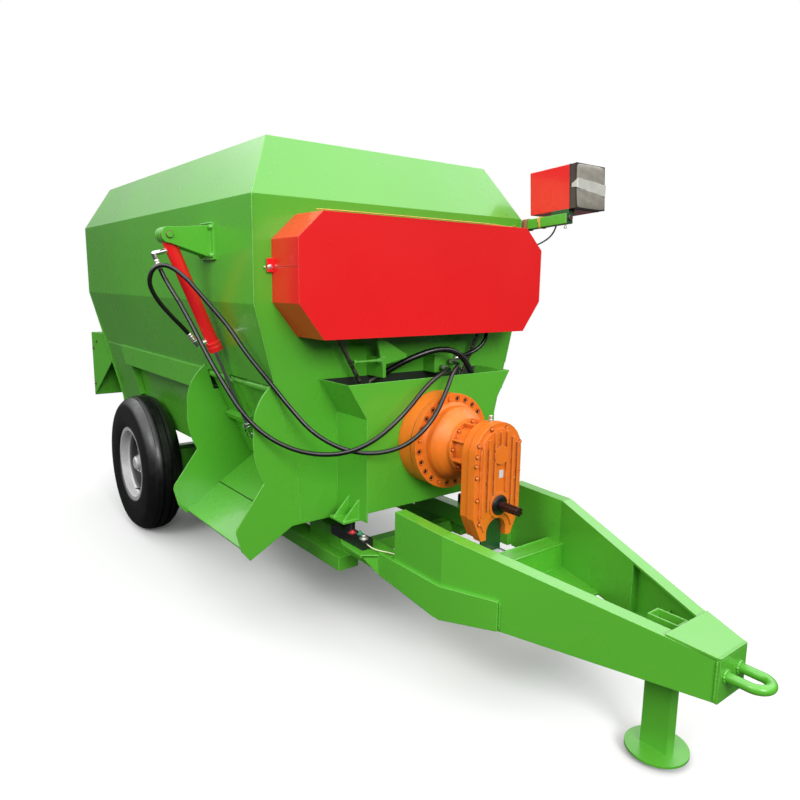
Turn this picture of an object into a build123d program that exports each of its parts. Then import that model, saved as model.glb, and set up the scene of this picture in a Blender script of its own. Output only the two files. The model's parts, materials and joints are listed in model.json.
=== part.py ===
from build123d import *
import os
from math import acos, atan2, ceil, cos, hypot, pi, radians, sin, tan

# Feed mixer wagon: a trailed tub with three lying augers and one discharge door.
# Working frame in mm: X across, Y from the front wall to the rear, Z up from the ground.
# The tow eye's centre is the origin of the written files. "Right" is -X, the chute's side.

# Tub
SHEET = 6
TUB_LENGTH = 2430
BELT_HALF = 721
BELT_TOP = 1806
BELT_BOTTOM = 1402
MOUTH_HALF = 588
TUB_TOP = 2046
FRONT_LEAN = 139
REAR_LEAN = 126
WALL_LOW_HALF = 632
WALL_LOW = 1080
END_SHOULDER = (645, 1100)
END_KNEE = (545, 700)
END_FOOT = (530, 500)
PAST = 100

# Trough and augers
AUGER_Z = 845
TROUGH_RADIUS = 339
AUGER_GAP = 14
TUBE_RADIUS = 70
AUGER_PITCH = 460
UPPER_X = 400
UPPER_Z = 1500
UPPER_RADIUS = 200
UPPER_TUBE = 50
UPPER_PITCH = 300
FLIGHT = 8
FLIGHT_STEPS = 16
MAIN_SHAFT = 60
UPPER_SHAFT = 25
SHAFT_GAP = 0.5
WALL_GAP = 14

# Side rails and skirts
RAIL_HALF = 640
RAIL_HEIGHT = 110
RAIL_INNER = 556
SKIRT = ((560, 970), (530, 800), (512, 620))
FLANK = ((632, 1080), (540, 700), (533, 600))
FLANK_Y = TUB_LENGTH - 440
FLANK_LOW = 770
FLANK_CUT = 250
RAIL_MITRE = 90

# Chute and door
CHUTE_LENGTH = 700
CHEEK_LOBE = ((-735, 905), (-695, 700))
CHEEK_FLARE = ((-820, 530), (-797, 440), (-762, 395), (-572, 500))
CHEEK_TOP = (-663, 1083)
CHEEK_ROUND = 40
FLOOR_LINE = ((-300, 655), (-380, 655), (-590, 520), (-755, 412))
OPENING_LOW = 661
OPENING_TOP = 1012
MOUTH_MARGIN = 26
DOOR_HINGE = (-612, 1058)
DOOR_TIP = (-430, 660)
DOOR_GAP = 8
DOOR_FOLD = (200, 225, 28)
HINGE_PIN = 10
HINGE_SLEEVE = 16
PIN_GAP = 0.6

# Cylinder
RAM_Y = 410
RAM_TOP = (-BELT_HALF - 176, 1665)
RAM_EYE = (-546, 805)
BARREL_LENGTH = 510
BARREL_RADIUS = 27
ROD_RADIUS = 12.5
ROD_GAP = 0.5
LUG_THICK = 16
FORK_GAP = 6
FORK_EAR = 10
EYE_RADIUS = 22
PORTS = (60, 462)
BRACKET_Z = (1574, 1719)
PORT_RADIUS = 11
ELBOW_LEG = 22

# Front guard, chain cover, rear guard
GUARD_HALF = 355
GUARD_FLARE_HALF = 445
GUARD_LOW = 570
GUARD_SIDE_LOW = 530
GUARD_BEND = 955
GUARD_TOP = 1100
GUARD_DEPTH = 220
GUARD_SHEET = 5
COVER_DEPTH = 205
COVER_HALF = 645
COVER_FLAT = 540
COVER_LOW = 1275
COVER_HIGH = 1742
COVER_SIDE = (1410, 1645)
REAR_GUARD_HALF = (600, 655)
REAR_GUARD_DEPTH = 290
REAR_GUARD_TOP = 1120
REAR_GUARD_LOW = 675
REAR_GUARD_RISE = 950

# Chain
CHAIN_Y = -75
CHAIN_WIDTH = 16
CHAIN_DEPTH = 14
MAIN_SPROCKET = 125
UPPER_SPROCKET = 100
SPROCKET_GAP = 0.5

# Drive line, with the gearboxes' steps measured along Y
DRUM_RADIUS = 199
DRUM_TAPER = 3
DRUM_END = -294
FLANGE_BACK = -300
FLANGE_FRONT = -328
BOLT_HOLES = 24
BOLT_RADIUS = 178
BOLT_HOLE = 7.5
BOLT_DEPTH = 14
BELL = ((163, -328), (152, -339), (150, -366), (138, -388), (112, -414), (106, -430))
COLLAR_RADIUS = 113
COLLAR_FRONT = -443
NECK_RADIUS = 92
NECK_RIBS = 8
RIB_THICK = 9
CASE_HALF = 125
CASE_FRONT = -595
CASE_SPLIT = -558
CASE_REAR = -515
CASE_STEP = 6
CASE_KNEE = 602
CASE_FOOT = (82, 508)
LID_INSET = 22
LID_RISE = 8
LID_RIB_RISE = 17
BOSS_RADIUS = 38
ARCH_RADIUS = 54
ARCH_Z = 534
INPUT_Z = 645
INPUT_RADIUS = 17.5
INPUT_TIP = -713
SEAL_FRONT = -618

# Drawbar
BEAM_THICK = 50
BEAM_PLAN = ((354, -405), (354, -676), (76, -1530))
BEAM_TOP = ((-405, 631), (-676, 620), (-1530, 462))
BEAM_LOW = ((-405, 340), (-676, 335), (-1530, 330))
BEAM_BOXED_TO = -1100
BEAM_WALL = 9
NOSE_Y = -1540
NOSE_HALF = 77
COVER_REAR = -1393
EYE_Y = -1605
EYE_Z = 405
EYE_LOOP = 40
EYE_BAR = 15
CROSS_Y = (-693, -614)
CROSS_Z = (326, 445)
PLATE_END = -930
PLATE_Z = (336, 346)

# Chassis
LOW_RAIL_X = (300, 400)
LOW_RAIL_Z = (285, 345)
LOW_RAIL_Y = (-80, TUB_LENGTH - 85)
CROSS_TUBE_Y = (-20, TUB_LENGTH - 205)
SHELF_TOP = 430
SHELF_X = 280
SHELF_THICK = 12
RAIL_PLAN = ((424, -268), (366, -657))
RAIL_END = -883
RAIL_LOW = 308
RAIL_CHAMFER = 110
CELL_HEIGHT = 40
CELL_X = (341, 393)
FRONT_CELL_Y = (-245, -10)
REAR_CELL_Y = (TUB_LENGTH - 140, TUB_LENGTH + 95)
PUCK_RADIUS = 22
PUCK_HEIGHT = 55
FOOT_PLATE = 10
FOOT_OUTER = 432
FOOT_Y = (-168, -62)
FOOT_RISE = 80
GUSSET = 8
SHELF_OUTER = 345
SHELF_END = 250
POST_LENGTH = 90

# Wheels and axle
WHEEL_RADIUS = 402.5
WHEEL_X = 634
AXLE_Y = 1710
AXLE_BEAM_HALF = 510
AXLE_WIDTH = 100
AXLE_TOP = 460
STUB_RADIUS = 30
TYRE_HALF = 103
BEAD_RADIUS = 205
FLANGE_RADIUS = 222
RIM_HALF = 86
HUB_RADIUS = 62
HAND_HOLES = 8

# Parking jack
JACK_X = 17
JACK_Y = -1322
SLEEVE = (58, 104)
SLEEVE_WALL = 5
SLEEVE_Z = (334, 476)
LEG_GAP = 0.8
LEG_TOP = 440
FOOT_Z = 22
FOOT_RADIUS = 100
FOOT_THICK = 8
STUB_HALF = (34, 54)
CROSS_PLATE = 8
CROSS_PLATE_Z = (348, 440)

# Weigh display
DISPLAY_X = (BELT_HALF + 24, BELT_HALF + 244)
DISPLAY_Y = (-300, -50)
DISPLAY_Z = (1820, 2030)
ARM_WIDTH = 46
ARM_HEIGHT = 48
ARM_BASE = 8
ARM_PLATE = ((0, 110), (1700, 1802))

# Hoses, each a list of points followed from its fitting
HOSE_RADIUS = 9
LOOM_RADIUS = 13
DISPLAY_CABLE_RADIUS = 4
CELL_CABLE_RADIUS = 2.5
UPPER_LEAD = ((-941, 410, 1568), (-925, 404, 1518), (-905, 378, 1465), (-890, 335, 1415))
UPPER_RUN = ((-888, 330, 1409), (-856, 270, 1310), (-836, 190, 1205), (-810, 105, 1103),
             (-772, 10, 984), (-700, -62, 893), (-600, -150, 840), (-495, -255, 842),
             (-395, -322, 892), (-280, -362, 995), (-160, -345, 1092), (-37, -292, 1126),
             (58, -235, 1128), (118, -168, 1122), (138, -108, 1118))
LOWER_LOOP = ((-797, 410, 1238), (-835, 410, 1285), (-893, 408, 1345), (-950, 404, 1412),
              (-983, 396, 1482), (-958, 376, 1548), (-893, 345, 1541), (-856, 300, 1488))
LOWER_RUN = ((-852, 295, 1482), (-806, 240, 1405), (-752, 165, 1312), (-720, 88, 1215),
             (-672, 0, 1115), (-612, -70, 1005), (-548, -140, 905), (-452, -232, 842),
             (-345, -300, 834), (-245, -352, 870), (-150, -382, 960), (-62, -352, 1060),
             (30, -290, 1130), (108, -235, 1146), (160, -168, 1146), (184, -108, 1142))
LOOM_RUN = ((-138, -22, 1100), (-92, -55, 1136), (-20, -98, 1177), (68, -138, 1208),
            (148, -166, 1202), (214, -180, 1148), (246, -190, 1074))
NIPPLE_REACH = 90
SUPPLY_RUN = ((384, -42, 1328), (396, -98, 1300), (384, -128, 1245), (340, -124, 1198),
              (290, -98, 1168), (246, -58, 1150))
DISPLAY_CABLE = ((815, -150, 1806), (815, -146, 1768), (800, -128, 1722), (768, -96, 1690),
                 (728, -84, 1676), (694, -70, 1655), (678, -36, 1636))
CELL_CABLE = ((-372, -251, 453), (-371, -276, 447), (-353, -301, 440), (-331, -326, 437),
              (-319, -358, 437), (-318, -397, 439))


def block(x, y, z):
    """Box between pairs of limits."""
    limits = (x, y, z)
    size = [high - low for low, high in limits]
    middle = [(high + low) / 2 for low, high in limits]
    return Pos(*middle) * Box(*size)


def flat(outline):
    """Face with a straight-sided outline."""
    return make_face(Polyline(*outline, close=True))


def along_y(face, start, end):
    """Solid whose XZ section is the face."""
    return extrude(Plane.XZ.offset(-start) * face, amount=start - end)


def along_x(face, start, end):
    """Solid whose YZ section is the face."""
    return extrude(Plane.YZ.offset(start) * face, amount=end - start)


def along_z(face, start, end):
    """Solid whose plan is the face."""
    return extrude(Plane.XY.offset(start) * face, amount=end - start)


def both_sides(outline):
    """Outline closed by its own mirror image across X = 0."""
    return list(outline) + [(-x, z) for x, z in reversed(outline)]


def inset(face, distance):
    """Face with every side moved inwards."""
    return offset(face, amount=-distance, kind=Kind.INTERSECTION)


def bar(start, end, radius):
    """Round bar between two points."""
    axis = Vector(*end) - Vector(*start)
    return extrude(Plane(origin=start, z_dir=axis) * Circle(radius), amount=axis.length)


def disc_y(x, z, start, end, radius):
    """Round bar along Y."""
    return bar((x, start, z), (x, end, z), radius)


def left_of(solid):
    """The same piece on the left side."""
    return mirror(solid, about=Plane.YZ)


def biggest(shape):
    """Largest solid of a trimmed piece."""
    return max(shape.solids(), key=lambda solid: solid.volume)


def line_at(line, value):
    """Second coordinate of a polyline where its first one has a value."""
    points = sorted(line)
    for (a, b), (c, d) in zip(points, points[1:]):
        if a <= value <= c:
            return b + (d - b) * (value - a) / (c - a)
    return points[0][1] if value < points[0][0] else points[-1][1]


# Tub panels
def tub_section():
    """Walls in XZ, run past their ends so that an inset keeps them open."""
    lean = (BELT_HALF - MOUTH_HALF) / (TUB_TOP - BELT_TOP)
    slant = (BELT_HALF - WALL_LOW_HALF) / (BELT_BOTTOM - WALL_LOW)
    return flat(both_sides([
        (WALL_LOW_HALF - slant * PAST, WALL_LOW - PAST),
        (BELT_HALF, BELT_BOTTOM),
        (BELT_HALF, BELT_TOP),
        (MOUTH_HALF - lean * PAST, TUB_TOP + PAST),
    ]))


def tub_side():
    """Walls in YZ, with the collar leaning inwards at both ends."""
    share = 1 + PAST / (TUB_TOP - BELT_TOP)
    return flat([
        (0, WALL_LOW - PAST),
        (0, BELT_TOP),
        (FRONT_LEAN * share, TUB_TOP + PAST),
        (TUB_LENGTH - REAR_LEAN * share, TUB_TOP + PAST),
        (TUB_LENGTH, BELT_TOP),
        (TUB_LENGTH, WALL_LOW - PAST),
    ])


def tub_hull(distance):
    """The tub's outside, or its inside when a sheet's thickness is given."""
    section, side = tub_section(), tub_side()
    if distance:
        section, side = inset(section, distance), inset(side, distance)
    across = BELT_HALF + PAST
    return along_y(section, -PAST, TUB_LENGTH + PAST) & along_x(side, -across, across)


def tub_shell():
    """All four walls from the trough's edge to the mouth."""
    across = BELT_HALF + PAST
    clip = block((-across, across), (-PAST, TUB_LENGTH + PAST), (WALL_LOW, TUB_TOP))
    return (tub_hull(0) - tub_hull(SHEET)) & clip


def end_region(lean, rear):
    """Space of one end wall, mitred along the collar's corners."""
    reach = 1 + PAST / lean
    narrow = BELT_HALF - reach * (BELT_HALF - MOUTH_HALF)
    plan = both_sides([(BELT_HALF, 0), (narrow, reach * lean)])
    region = along_z(flat(plan), BELT_TOP, TUB_TOP)
    region += block((-BELT_HALF, BELT_HALF), (0, SHEET), (0, BELT_TOP))
    if rear:
        region = Pos(0, TUB_LENGTH, 0) * mirror(region, about=Plane.XZ)
    return region


def end_plate(start):
    """Flat end wall below the collar."""
    outline = [(BELT_HALF, BELT_TOP), (BELT_HALF, BELT_BOTTOM), END_SHOULDER, END_KNEE, END_FOOT]
    return along_y(flat(both_sides(outline)), start, start + SHEET)


def shaft_holes(start):
    """Cuts where the three auger shafts pass an end wall."""
    cuts = disc_y(0, AUGER_Z, start - 1, start + SHEET + 1, MAIN_SHAFT + 2 * SHAFT_GAP)
    for x in (-UPPER_X, UPPER_X):
        cuts += disc_y(x, UPPER_Z, start - 1, start + SHEET + 1, UPPER_SHAFT + 2 * SHAFT_GAP)
    return cuts


def front_wall():
    wall = (tub_shell() & end_region(FRONT_LEAN, False)) + end_plate(0)
    return wall - shaft_holes(0)


def rear_wall():
    start = TUB_LENGTH - SHEET
    wall = (tub_shell() & end_region(REAR_LEAN, True)) + end_plate(start)
    return wall - shaft_holes(start)


def right_wall():
    walls = tub_shell() - end_region(FRONT_LEAN, False) - end_region(REAR_LEAN, True)
    return walls & block((-BELT_HALF - PAST, 0), (0, TUB_LENGTH), (0, TUB_TOP))


def trough_face():
    """Trough's inside: a round gutter under two tangent wings."""
    edge = (WALL_LOW_HALF - SHEET, WALL_LOW)
    reach = hypot(edge[0], edge[1] - AUGER_Z)
    angle = atan2(edge[1] - AUGER_Z, edge[0]) - acos(TROUGH_RADIUS / reach)
    touch = (TROUGH_RADIUS * cos(angle), AUGER_Z + TROUGH_RADIUS * sin(angle))
    left_touch = (-touch[0], touch[1])
    sides = [
        Line(edge, touch),
        ThreePointArc(touch, (0, AUGER_Z - TROUGH_RADIUS), left_touch),
        Line(left_touch, (-edge[0], edge[1])),
        Line((-edge[0], edge[1]), edge),
    ]
    return make_face(Wire(sides))


def trough_block():
    """Everything within the trough's outside, over its full length."""
    outside = offset(trough_face(), amount=SHEET, kind=Kind.INTERSECTION)
    return along_y(outside, SHEET, TUB_LENGTH - SHEET)


def trough():
    """Gutter with the chute's mouth cut from its right wing, wider behind the hinge."""
    start, end = SHEET, TUB_LENGTH - SHEET
    gutter = trough_block() - along_y(trough_face(), start - 1, end + 1)
    gutter &= block((-BELT_HALF, BELT_HALF), (start, end), (0, WALL_LOW))
    far = CHUTE_LENGTH - SHEET
    mouth = block((-BELT_HALF, -200), (SHEET + MOUTH_MARGIN, far - MOUTH_MARGIN),
                  (OPENING_LOW, WALL_LOW))
    hinge_room = block((-BELT_HALF, -200), (SHEET, far), (OPENING_TOP, WALL_LOW))
    return gutter - mouth - hinge_room


def side_rail(start):
    """Folded stiffener between a wall and its skirt."""
    low = WALL_LOW - RAIL_HEIGHT
    end = FLANK_Y + RAIL_MITRE
    web = block((-RAIL_HALF, SHEET - RAIL_HALF), (start, end), (low, WALL_LOW))
    web -= along_x(flat([(FLANK_Y, low), (end, WALL_LOW), (end, low)]), -RAIL_HALF - 1, 0)
    lip = block((-RAIL_HALF, -RAIL_INNER), (start, FLANK_Y), (low, low + SHEET))
    return biggest(web + lip - trough_block())


def skirt(start):
    """Closing sheet under the rail."""
    outer = [(-x, z) for x, z in SKIRT]
    inner = [(-x + SHEET, z) for x, z in reversed(SKIRT)]
    return along_y(flat(outer + inner), start, TUB_LENGTH - SHEET)


def flank():
    """Wall carried down at the rear corner, with its folded front edge."""
    end = TUB_LENGTH - SHEET
    outer = [(-x, z) for x, z in FLANK]
    inner = [(-x + SHEET, z) for x, z in reversed(FLANK)]
    low = FLANK[-1][1]
    view = flat([(FLANK_Y, WALL_LOW), (end, WALL_LOW), (end, low), (FLANK_Y + FLANK_CUT, low),
                 (FLANK_Y, FLANK_LOW)])
    plate = along_y(flat(outer + inner), FLANK_Y, end) & along_x(view, -RAIL_HALF, 0)
    top = WALL_LOW - RAIL_HEIGHT
    width = [line_at([(z, x) for x, z in line], level) for line in (FLANK, SKIRT)
             for level in (top, FLANK_LOW)]
    fold = flat([(-width[0] + 1, top), (-width[2], top), (-width[3], FLANK_LOW),
                 (-width[1] + 1, FLANK_LOW)])
    folded = plate + along_y(fold, FLANK_Y, FLANK_Y + SHEET)
    return biggest(folded - trough_block() - skirt(CHUTE_LENGTH))


# Chute and door
def cheek(start):
    """Chute's side plate, cut to the front wall's edge."""
    lobe, notch = CHEEK_LOBE
    flare, lip, tip, root = CHEEK_FLARE
    shoulder, knee, foot = [(-x, z) for x, z in (END_SHOULDER, END_KNEE, END_FOOT)]
    edges = [
        Line(shoulder, CHEEK_TOP),
        ThreePointArc(CHEEK_TOP, (-722, 1000), lobe),
        ThreePointArc(lobe, (-730, 790), notch),
        Line(notch, flare),
        Line(flare, lip),
        Line(lip, tip),
        Line(tip, root),
        Line(root, foot),
        Line(foot, knee),
        Line(knee, shoulder),
    ]
    face = make_face(Wire(edges))
    corner = face.vertices().sort_by_distance((*flare, 0))[0]
    return along_y(fillet(corner, CHEEK_ROUND), start, start + SHEET)


def rear_cheek():
    """Rear side plate, which also closes the pocket behind the door."""
    start = CHUTE_LENGTH - SHEET
    shoulder, knee, foot = [(-x, z) for x, z in (END_SHOULDER, END_KNEE, END_FOOT)]
    floor_root = FLOOR_LINE[0]
    pocket = flat([shoulder, knee, foot, (floor_root[0] - 40, 560), floor_root, (-585, 1035)])
    plate = cheek(start) + along_y(pocket, start, start + SHEET)
    return plate - tub_hull(0) - trough_block()


def chute_cheeks():
    return [cheek(0), rear_cheek()]


def chute_floor():
    """Sloping floor between the cheeks."""
    lower = [(x, z - SHEET) for x, z in reversed(FLOOR_LINE)]
    floor = along_y(flat(list(FLOOR_LINE) + lower), SHEET, CHUTE_LENGTH - SHEET)
    return floor - trough_block()


def hinge_bar():
    """Round bar welded between the end plates."""
    return disc_y(*DOOR_HINGE, SHEET, CHUTE_LENGTH - SHEET, HINGE_PIN)


def door_plane():
    """Unit vector down the closed door, and the outward one square to it."""
    run = Vector(DOOR_TIP[0] - DOOR_HINGE[0], DOOR_TIP[1] - DOOR_HINGE[1])
    down = run.normalized()
    return run.length, down, Vector(down.Y, -down.X)


def on_door(distance, out):
    """Point in XZ, measured down from the hinge and out from the plate."""
    _, down, outward = door_plane()
    point = Vector(*DOOR_HINGE) + down * distance + outward * out
    return (point.X, point.Y)


def door_strip(low, high, inner, outer):
    """Rectangle in the door's own directions."""
    return flat([on_door(low, inner), on_door(high, inner), on_door(high, outer),
                 on_door(low, outer)])


def discharge_door():
    length = door_plane()[0]
    start, end = SHEET + DOOR_GAP, CHUTE_LENGTH - SHEET - DOOR_GAP
    plate = along_y(door_strip(HINGE_SLEEVE - 3, length, -SHEET / 2, SHEET / 2), start, end)
    low, high, rise = DOOR_FOLD
    fold = along_y(door_strip(low, high, SHEET / 2, rise), start, end)
    plate += fold - along_y(door_strip(low - 10, high + 10, 0, rise + 10), RAM_Y - 45, RAM_Y + 45)
    for low, high in ((start, 300), (520, end)):
        plate += disc_y(*DOOR_HINGE, low, high, HINGE_SLEEVE)
    plate -= disc_y(*DOOR_HINGE, 0, CHUTE_LENGTH, HINGE_PIN + PIN_GAP)
    return plate + door_lug()


def door_lug():
    """Upright lug that the cylinder's fork straddles."""
    eye = Vector(*RAM_EYE) - Vector(*DOOR_HINGE)
    _, down, outward = door_plane()
    distance, height = eye.dot(down), eye.dot(outward)
    start, end = RAM_Y - LUG_THICK / 2, RAM_Y + LUG_THICK / 2
    foot = along_y(door_strip(distance - 45, distance + 45, 0, 12), start, end)
    web = along_y(door_strip(distance - 18, distance + 18, 0, height), start, end)
    return foot + web + disc_y(*RAM_EYE, start, end, 18)


# Cylinder
def ram_axis():
    """Length from pivot to eye, its direction in XZ and the outward square one."""
    run = Vector(*RAM_EYE) - Vector(*RAM_TOP)
    along = run.normalized()
    return run.length, along, Vector(along.Y, -along.X)


def on_ram(distance, out=0.0, y=RAM_Y):
    """Point at a distance below the pivot."""
    _, along, outward = ram_axis()
    point = Vector(*RAM_TOP) + along * distance + outward * out
    return (point.X, y, point.Y)


def cylinder_bracket():
    """Base plate on the belt with two tapered ears."""
    base_low, base_high = BRACKET_Z
    start, end = RAM_Y - 55, RAM_Y + 55
    base = block((-BELT_HALF - 10, -BELT_HALF), (start - 15, end + 15), (base_low, base_high))
    ear = flat([(-BELT_HALF - 10, base_low + 8), (-BELT_HALF - 10, base_high - 8),
                (RAM_TOP[0] + 5, RAM_TOP[1] + 30), (RAM_TOP[0] - 5, RAM_TOP[1] - 30)])
    for low in (start + 15, end - 25):
        base += along_y(ear, low, low + 10) + disc_y(*RAM_TOP, low, low + 10, 32)
    pin = disc_y(*RAM_TOP, start + 8, end - 8, 12)
    return base + pin


def cylinder_barrel():
    eye = disc_y(*RAM_TOP, RAM_Y - 22, RAM_Y + 22, 30)
    body = bar(on_ram(24), on_ram(BARREL_LENGTH), BARREL_RADIUS)
    gland = bar(on_ram(BARREL_LENGTH - 40), on_ram(BARREL_LENGTH), BARREL_RADIUS + 4)
    bore = bar(on_ram(90), on_ram(BARREL_LENGTH + 1), ROD_RADIUS + ROD_GAP)
    pin = disc_y(*RAM_TOP, RAM_Y - 60, RAM_Y + 60, 12 + PIN_GAP)
    return eye + body + gland - bore - pin


def elbow(distance, route):
    """Fitting from the barrel to a hose, whose end it faces squarely."""
    start = Vector(*route[0])
    back = (start - Vector(*route[1])).normalized()
    corner = tuple(start + back * ELBOW_LEG)
    body = bar(on_ram(distance), corner, PORT_RADIUS) + bar(corner, route[0], PORT_RADIUS)
    body += Pos(*corner) * Sphere(PORT_RADIUS)
    return body - bar(on_ram(24), on_ram(BARREL_LENGTH), BARREL_RADIUS)


def cylinder_ports():
    return [elbow(PORTS[0], UPPER_LEAD), elbow(PORTS[1], LOWER_LOOP)]


def cylinder_rod():
    """Rod with a fork whose two stub pins end beside the door's lug."""
    length = ram_axis()[0]
    inner = LUG_THICK / 2 + FORK_GAP
    outer = inner + FORK_EAR
    stem = bar(on_ram(300), on_ram(length - 50), ROD_RADIUS)
    head = bar(on_ram(length - 62), on_ram(length - 38), outer)
    ears = []
    for side in (-1, 1):
        low, high = sorted((RAM_Y + side * inner, RAM_Y + side * outer))
        corners = [on_ram(length - 50, -EYE_RADIUS), on_ram(length, -EYE_RADIUS),
                   on_ram(length, EYE_RADIUS), on_ram(length - 50, EYE_RADIUS)]
        plate = along_y(flat([(x, z) for x, _, z in corners]), low, high)
        ears.append(plate + disc_y(*RAM_EYE, low, high, EYE_RADIUS))
        start, end = sorted((RAM_Y + side * outer, RAM_Y + side * (outer + 12)))
        ears.append(disc_y(*RAM_EYE, start, end, 9))
    return stem + head + ears


# Guards
def transmission_guard():
    """Open-topped box in front of the lower front wall."""
    outline = [(GUARD_HALF, GUARD_LOW), (GUARD_HALF, GUARD_BEND), (GUARD_FLARE_HALF, GUARD_TOP)]
    rise = (GUARD_FLARE_HALF - GUARD_HALF) / (GUARD_TOP - GUARD_BEND)
    tall = outline[:2] + [(GUARD_FLARE_HALF + rise * PAST, GUARD_TOP + PAST)]
    outside = along_y(flat(both_sides(outline)), -GUARD_DEPTH, 0)
    inside = along_y(inset(flat(both_sides(tall)), GUARD_SHEET), GUARD_SHEET - GUARD_DEPTH, 1)
    hole = disc_y(0, AUGER_Z, -GUARD_DEPTH - 1, 0, MAIN_SHAFT + 2 * SHAFT_GAP)
    strip = block((GUARD_HALF - GUARD_SHEET, GUARD_HALF), (-GUARD_DEPTH, 0),
                  (GUARD_SIDE_LOW, GUARD_LOW))
    return (outside + strip + left_of(strip)) - inside - hole


def cover_outline():
    low, high = COVER_SIDE
    return flat(both_sides([(COVER_FLAT, COVER_LOW), (COVER_HALF, low), (COVER_HALF, high),
                            (COVER_FLAT, COVER_HIGH)]))


def chain_cover():
    """Folded lid, open towards the wall and along its lower edge."""
    sheet = 4
    shell = along_y(cover_outline(), -COVER_DEPTH, 0)
    shell -= along_y(inset(cover_outline(), sheet), sheet - COVER_DEPTH, 1)
    slot = COVER_FLAT - 3 * sheet
    return shell - block((-slot, slot), (sheet - COVER_DEPTH, 1), (COVER_LOW - 1, COVER_LOW + 9))


def rear_guard():
    """Box behind the rear wall, open below and wider at the rear."""
    start, end = TUB_LENGTH, TUB_LENGTH + REAR_GUARD_DEPTH
    side = flat([(start, REAR_GUARD_RISE), (start, REAR_GUARD_TOP), (end, REAR_GUARD_TOP),
                 (end, REAR_GUARD_LOW)])
    narrow, wide = REAR_GUARD_HALF
    outside = flat(both_sides([(narrow, start), (wide, end)]))
    inside = flat(both_sides([(narrow - GUARD_SHEET, start), (wide - GUARD_SHEET, end - GUARD_SHEET)]))
    guard = along_z(outside, REAR_GUARD_LOW, REAR_GUARD_TOP) & along_x(side, -wide, wide)
    return guard - along_z(inside, REAR_GUARD_LOW - 1, REAR_GUARD_TOP - GUARD_SHEET)


# Drive line
def turned_y(points):
    """Solid of revolution about the main auger's line from a profile of (radius, y)."""
    outline = [(0, points[0][1])] + list(points) + [(0, points[-1][1])]
    return Pos(0, 0, AUGER_Z) * revolve(flat(outline), axis=Axis.Y)


def planetary_gearbox():
    """Cast drum with its bolted flange, stepped bell, collar and ribbed neck."""
    profile = [(DRUM_RADIUS, -GUARD_DEPTH), (DRUM_RADIUS - DRUM_TAPER, DRUM_END),
               (DRUM_RADIUS - 8, DRUM_END), (DRUM_RADIUS - 8, FLANGE_BACK),
               (DRUM_RADIUS, FLANGE_BACK), (DRUM_RADIUS, FLANGE_FRONT)]
    bell = list(BELL) + [(COLLAR_RADIUS, BELL[-1][1]), (COLLAR_RADIUS, COLLAR_FRONT)]
    neck = [(NECK_RADIUS, COLLAR_FRONT), (NECK_RADIUS, CASE_REAR)]
    drum = turned_y(profile + bell + neck)
    rounded = drum.edges().filter_by(GeomType.CIRCLE).filter_by(
        lambda edge: abs(edge.center().Y - BELL[2][1]) < 1 or abs(edge.center().Y - BELL[3][1]) < 1)
    drum = fillet(rounded, 14)
    for step in range(BOLT_HOLES):
        angle = 2 * pi * (step + 0.5) / BOLT_HOLES
        x, z = BOLT_RADIUS * cos(angle), AUGER_Z + BOLT_RADIUS * sin(angle)
        drum -= disc_y(x, z, FLANGE_FRONT - 1, FLANGE_FRONT + BOLT_DEPTH, BOLT_HOLE)
    for step in range(NECK_RIBS):
        rib = block((NECK_RADIUS - 4, COLLAR_RADIUS - 1), (CASE_REAR, COLLAR_FRONT),
                    (-RIB_THICK / 2, RIB_THICK / 2))
        drum += Pos(0, 0, AUGER_Z) * (Rot(Y=360 * (step + 0.5) / NECK_RIBS) * rib)
    return drum - disc_y(0, AUGER_Z, -260, 1 - GUARD_DEPTH, MAIN_SHAFT + SHAFT_GAP)


def case_face(distance):
    """Case's front view, arched above and on two legs, with its outline moved inwards."""
    foot_half, foot_low = CASE_FOOT
    left_foot, left_knee = (-foot_half, foot_low), (-CASE_HALF, CASE_KNEE)
    knee, foot = (CASE_HALF, CASE_KNEE), CASE_FOOT
    shoulder, left_shoulder = (CASE_HALF, AUGER_Z), (-CASE_HALF, AUGER_Z)
    sides = [
        ThreePointArc(shoulder, (0, AUGER_Z + CASE_HALF), left_shoulder),
        Line(left_shoulder, left_knee),
        Line(left_knee, left_foot),
        Line(left_foot, foot),
        Line(foot, knee),
        Line(knee, shoulder),
    ]
    outline = make_face(Wire(sides))
    face = inset(outline, distance) if distance else outline
    arch = Pos(0, ARCH_Z) * Circle(ARCH_RADIUS + distance)
    legs = Pos(0, foot_low) * Rectangle(2 * (ARCH_RADIUS + distance), 2 * (ARCH_Z - foot_low))
    return face - arch - legs


def lid_ribs():
    """Upright ribs of the lid: two full pairs, and a short fan above the boss."""
    low, high = CASE_KNEE + 10, AUGER_Z + 40
    spans = [(x, low, high) for x in (-92, 92)]
    spans += [(x, low + 20, high + 25) for x in (-64, 64)]
    spans += [(x, INPUT_Z + 50, AUGER_Z - 20) for x in (-32, 32)]
    spans += [(x, AUGER_Z + 20, AUGER_Z + 90) for x in (-32, 0, 32)]
    front, back = CASE_FRONT - LID_RIB_RISE, CASE_FRONT + 1
    ribs = [block((x - 5, x + 5), (front, back), (start, end)) for x, start, end in spans]
    return ribs + [disc_y(0, AUGER_Z, front, back, BOSS_RADIUS)]


def drop_gearbox():
    """Two-part cast case with a ribbed lid, an arched foot and the input's seat."""
    case = along_y(case_face(CASE_STEP), CASE_FRONT, CASE_REAR)
    case += along_y(case_face(0), CASE_FRONT, CASE_SPLIT)
    lid = along_y(case_face(LID_INSET), CASE_FRONT - LID_RISE, CASE_FRONT)
    case += [lid] + lid_ribs()
    case += disc_y(0, INPUT_Z, CASE_FRONT - 12, CASE_FRONT, 52)
    return case - disc_y(0, INPUT_Z, CASE_FRONT - 13, -520, INPUT_RADIUS + SHAFT_GAP)


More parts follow.
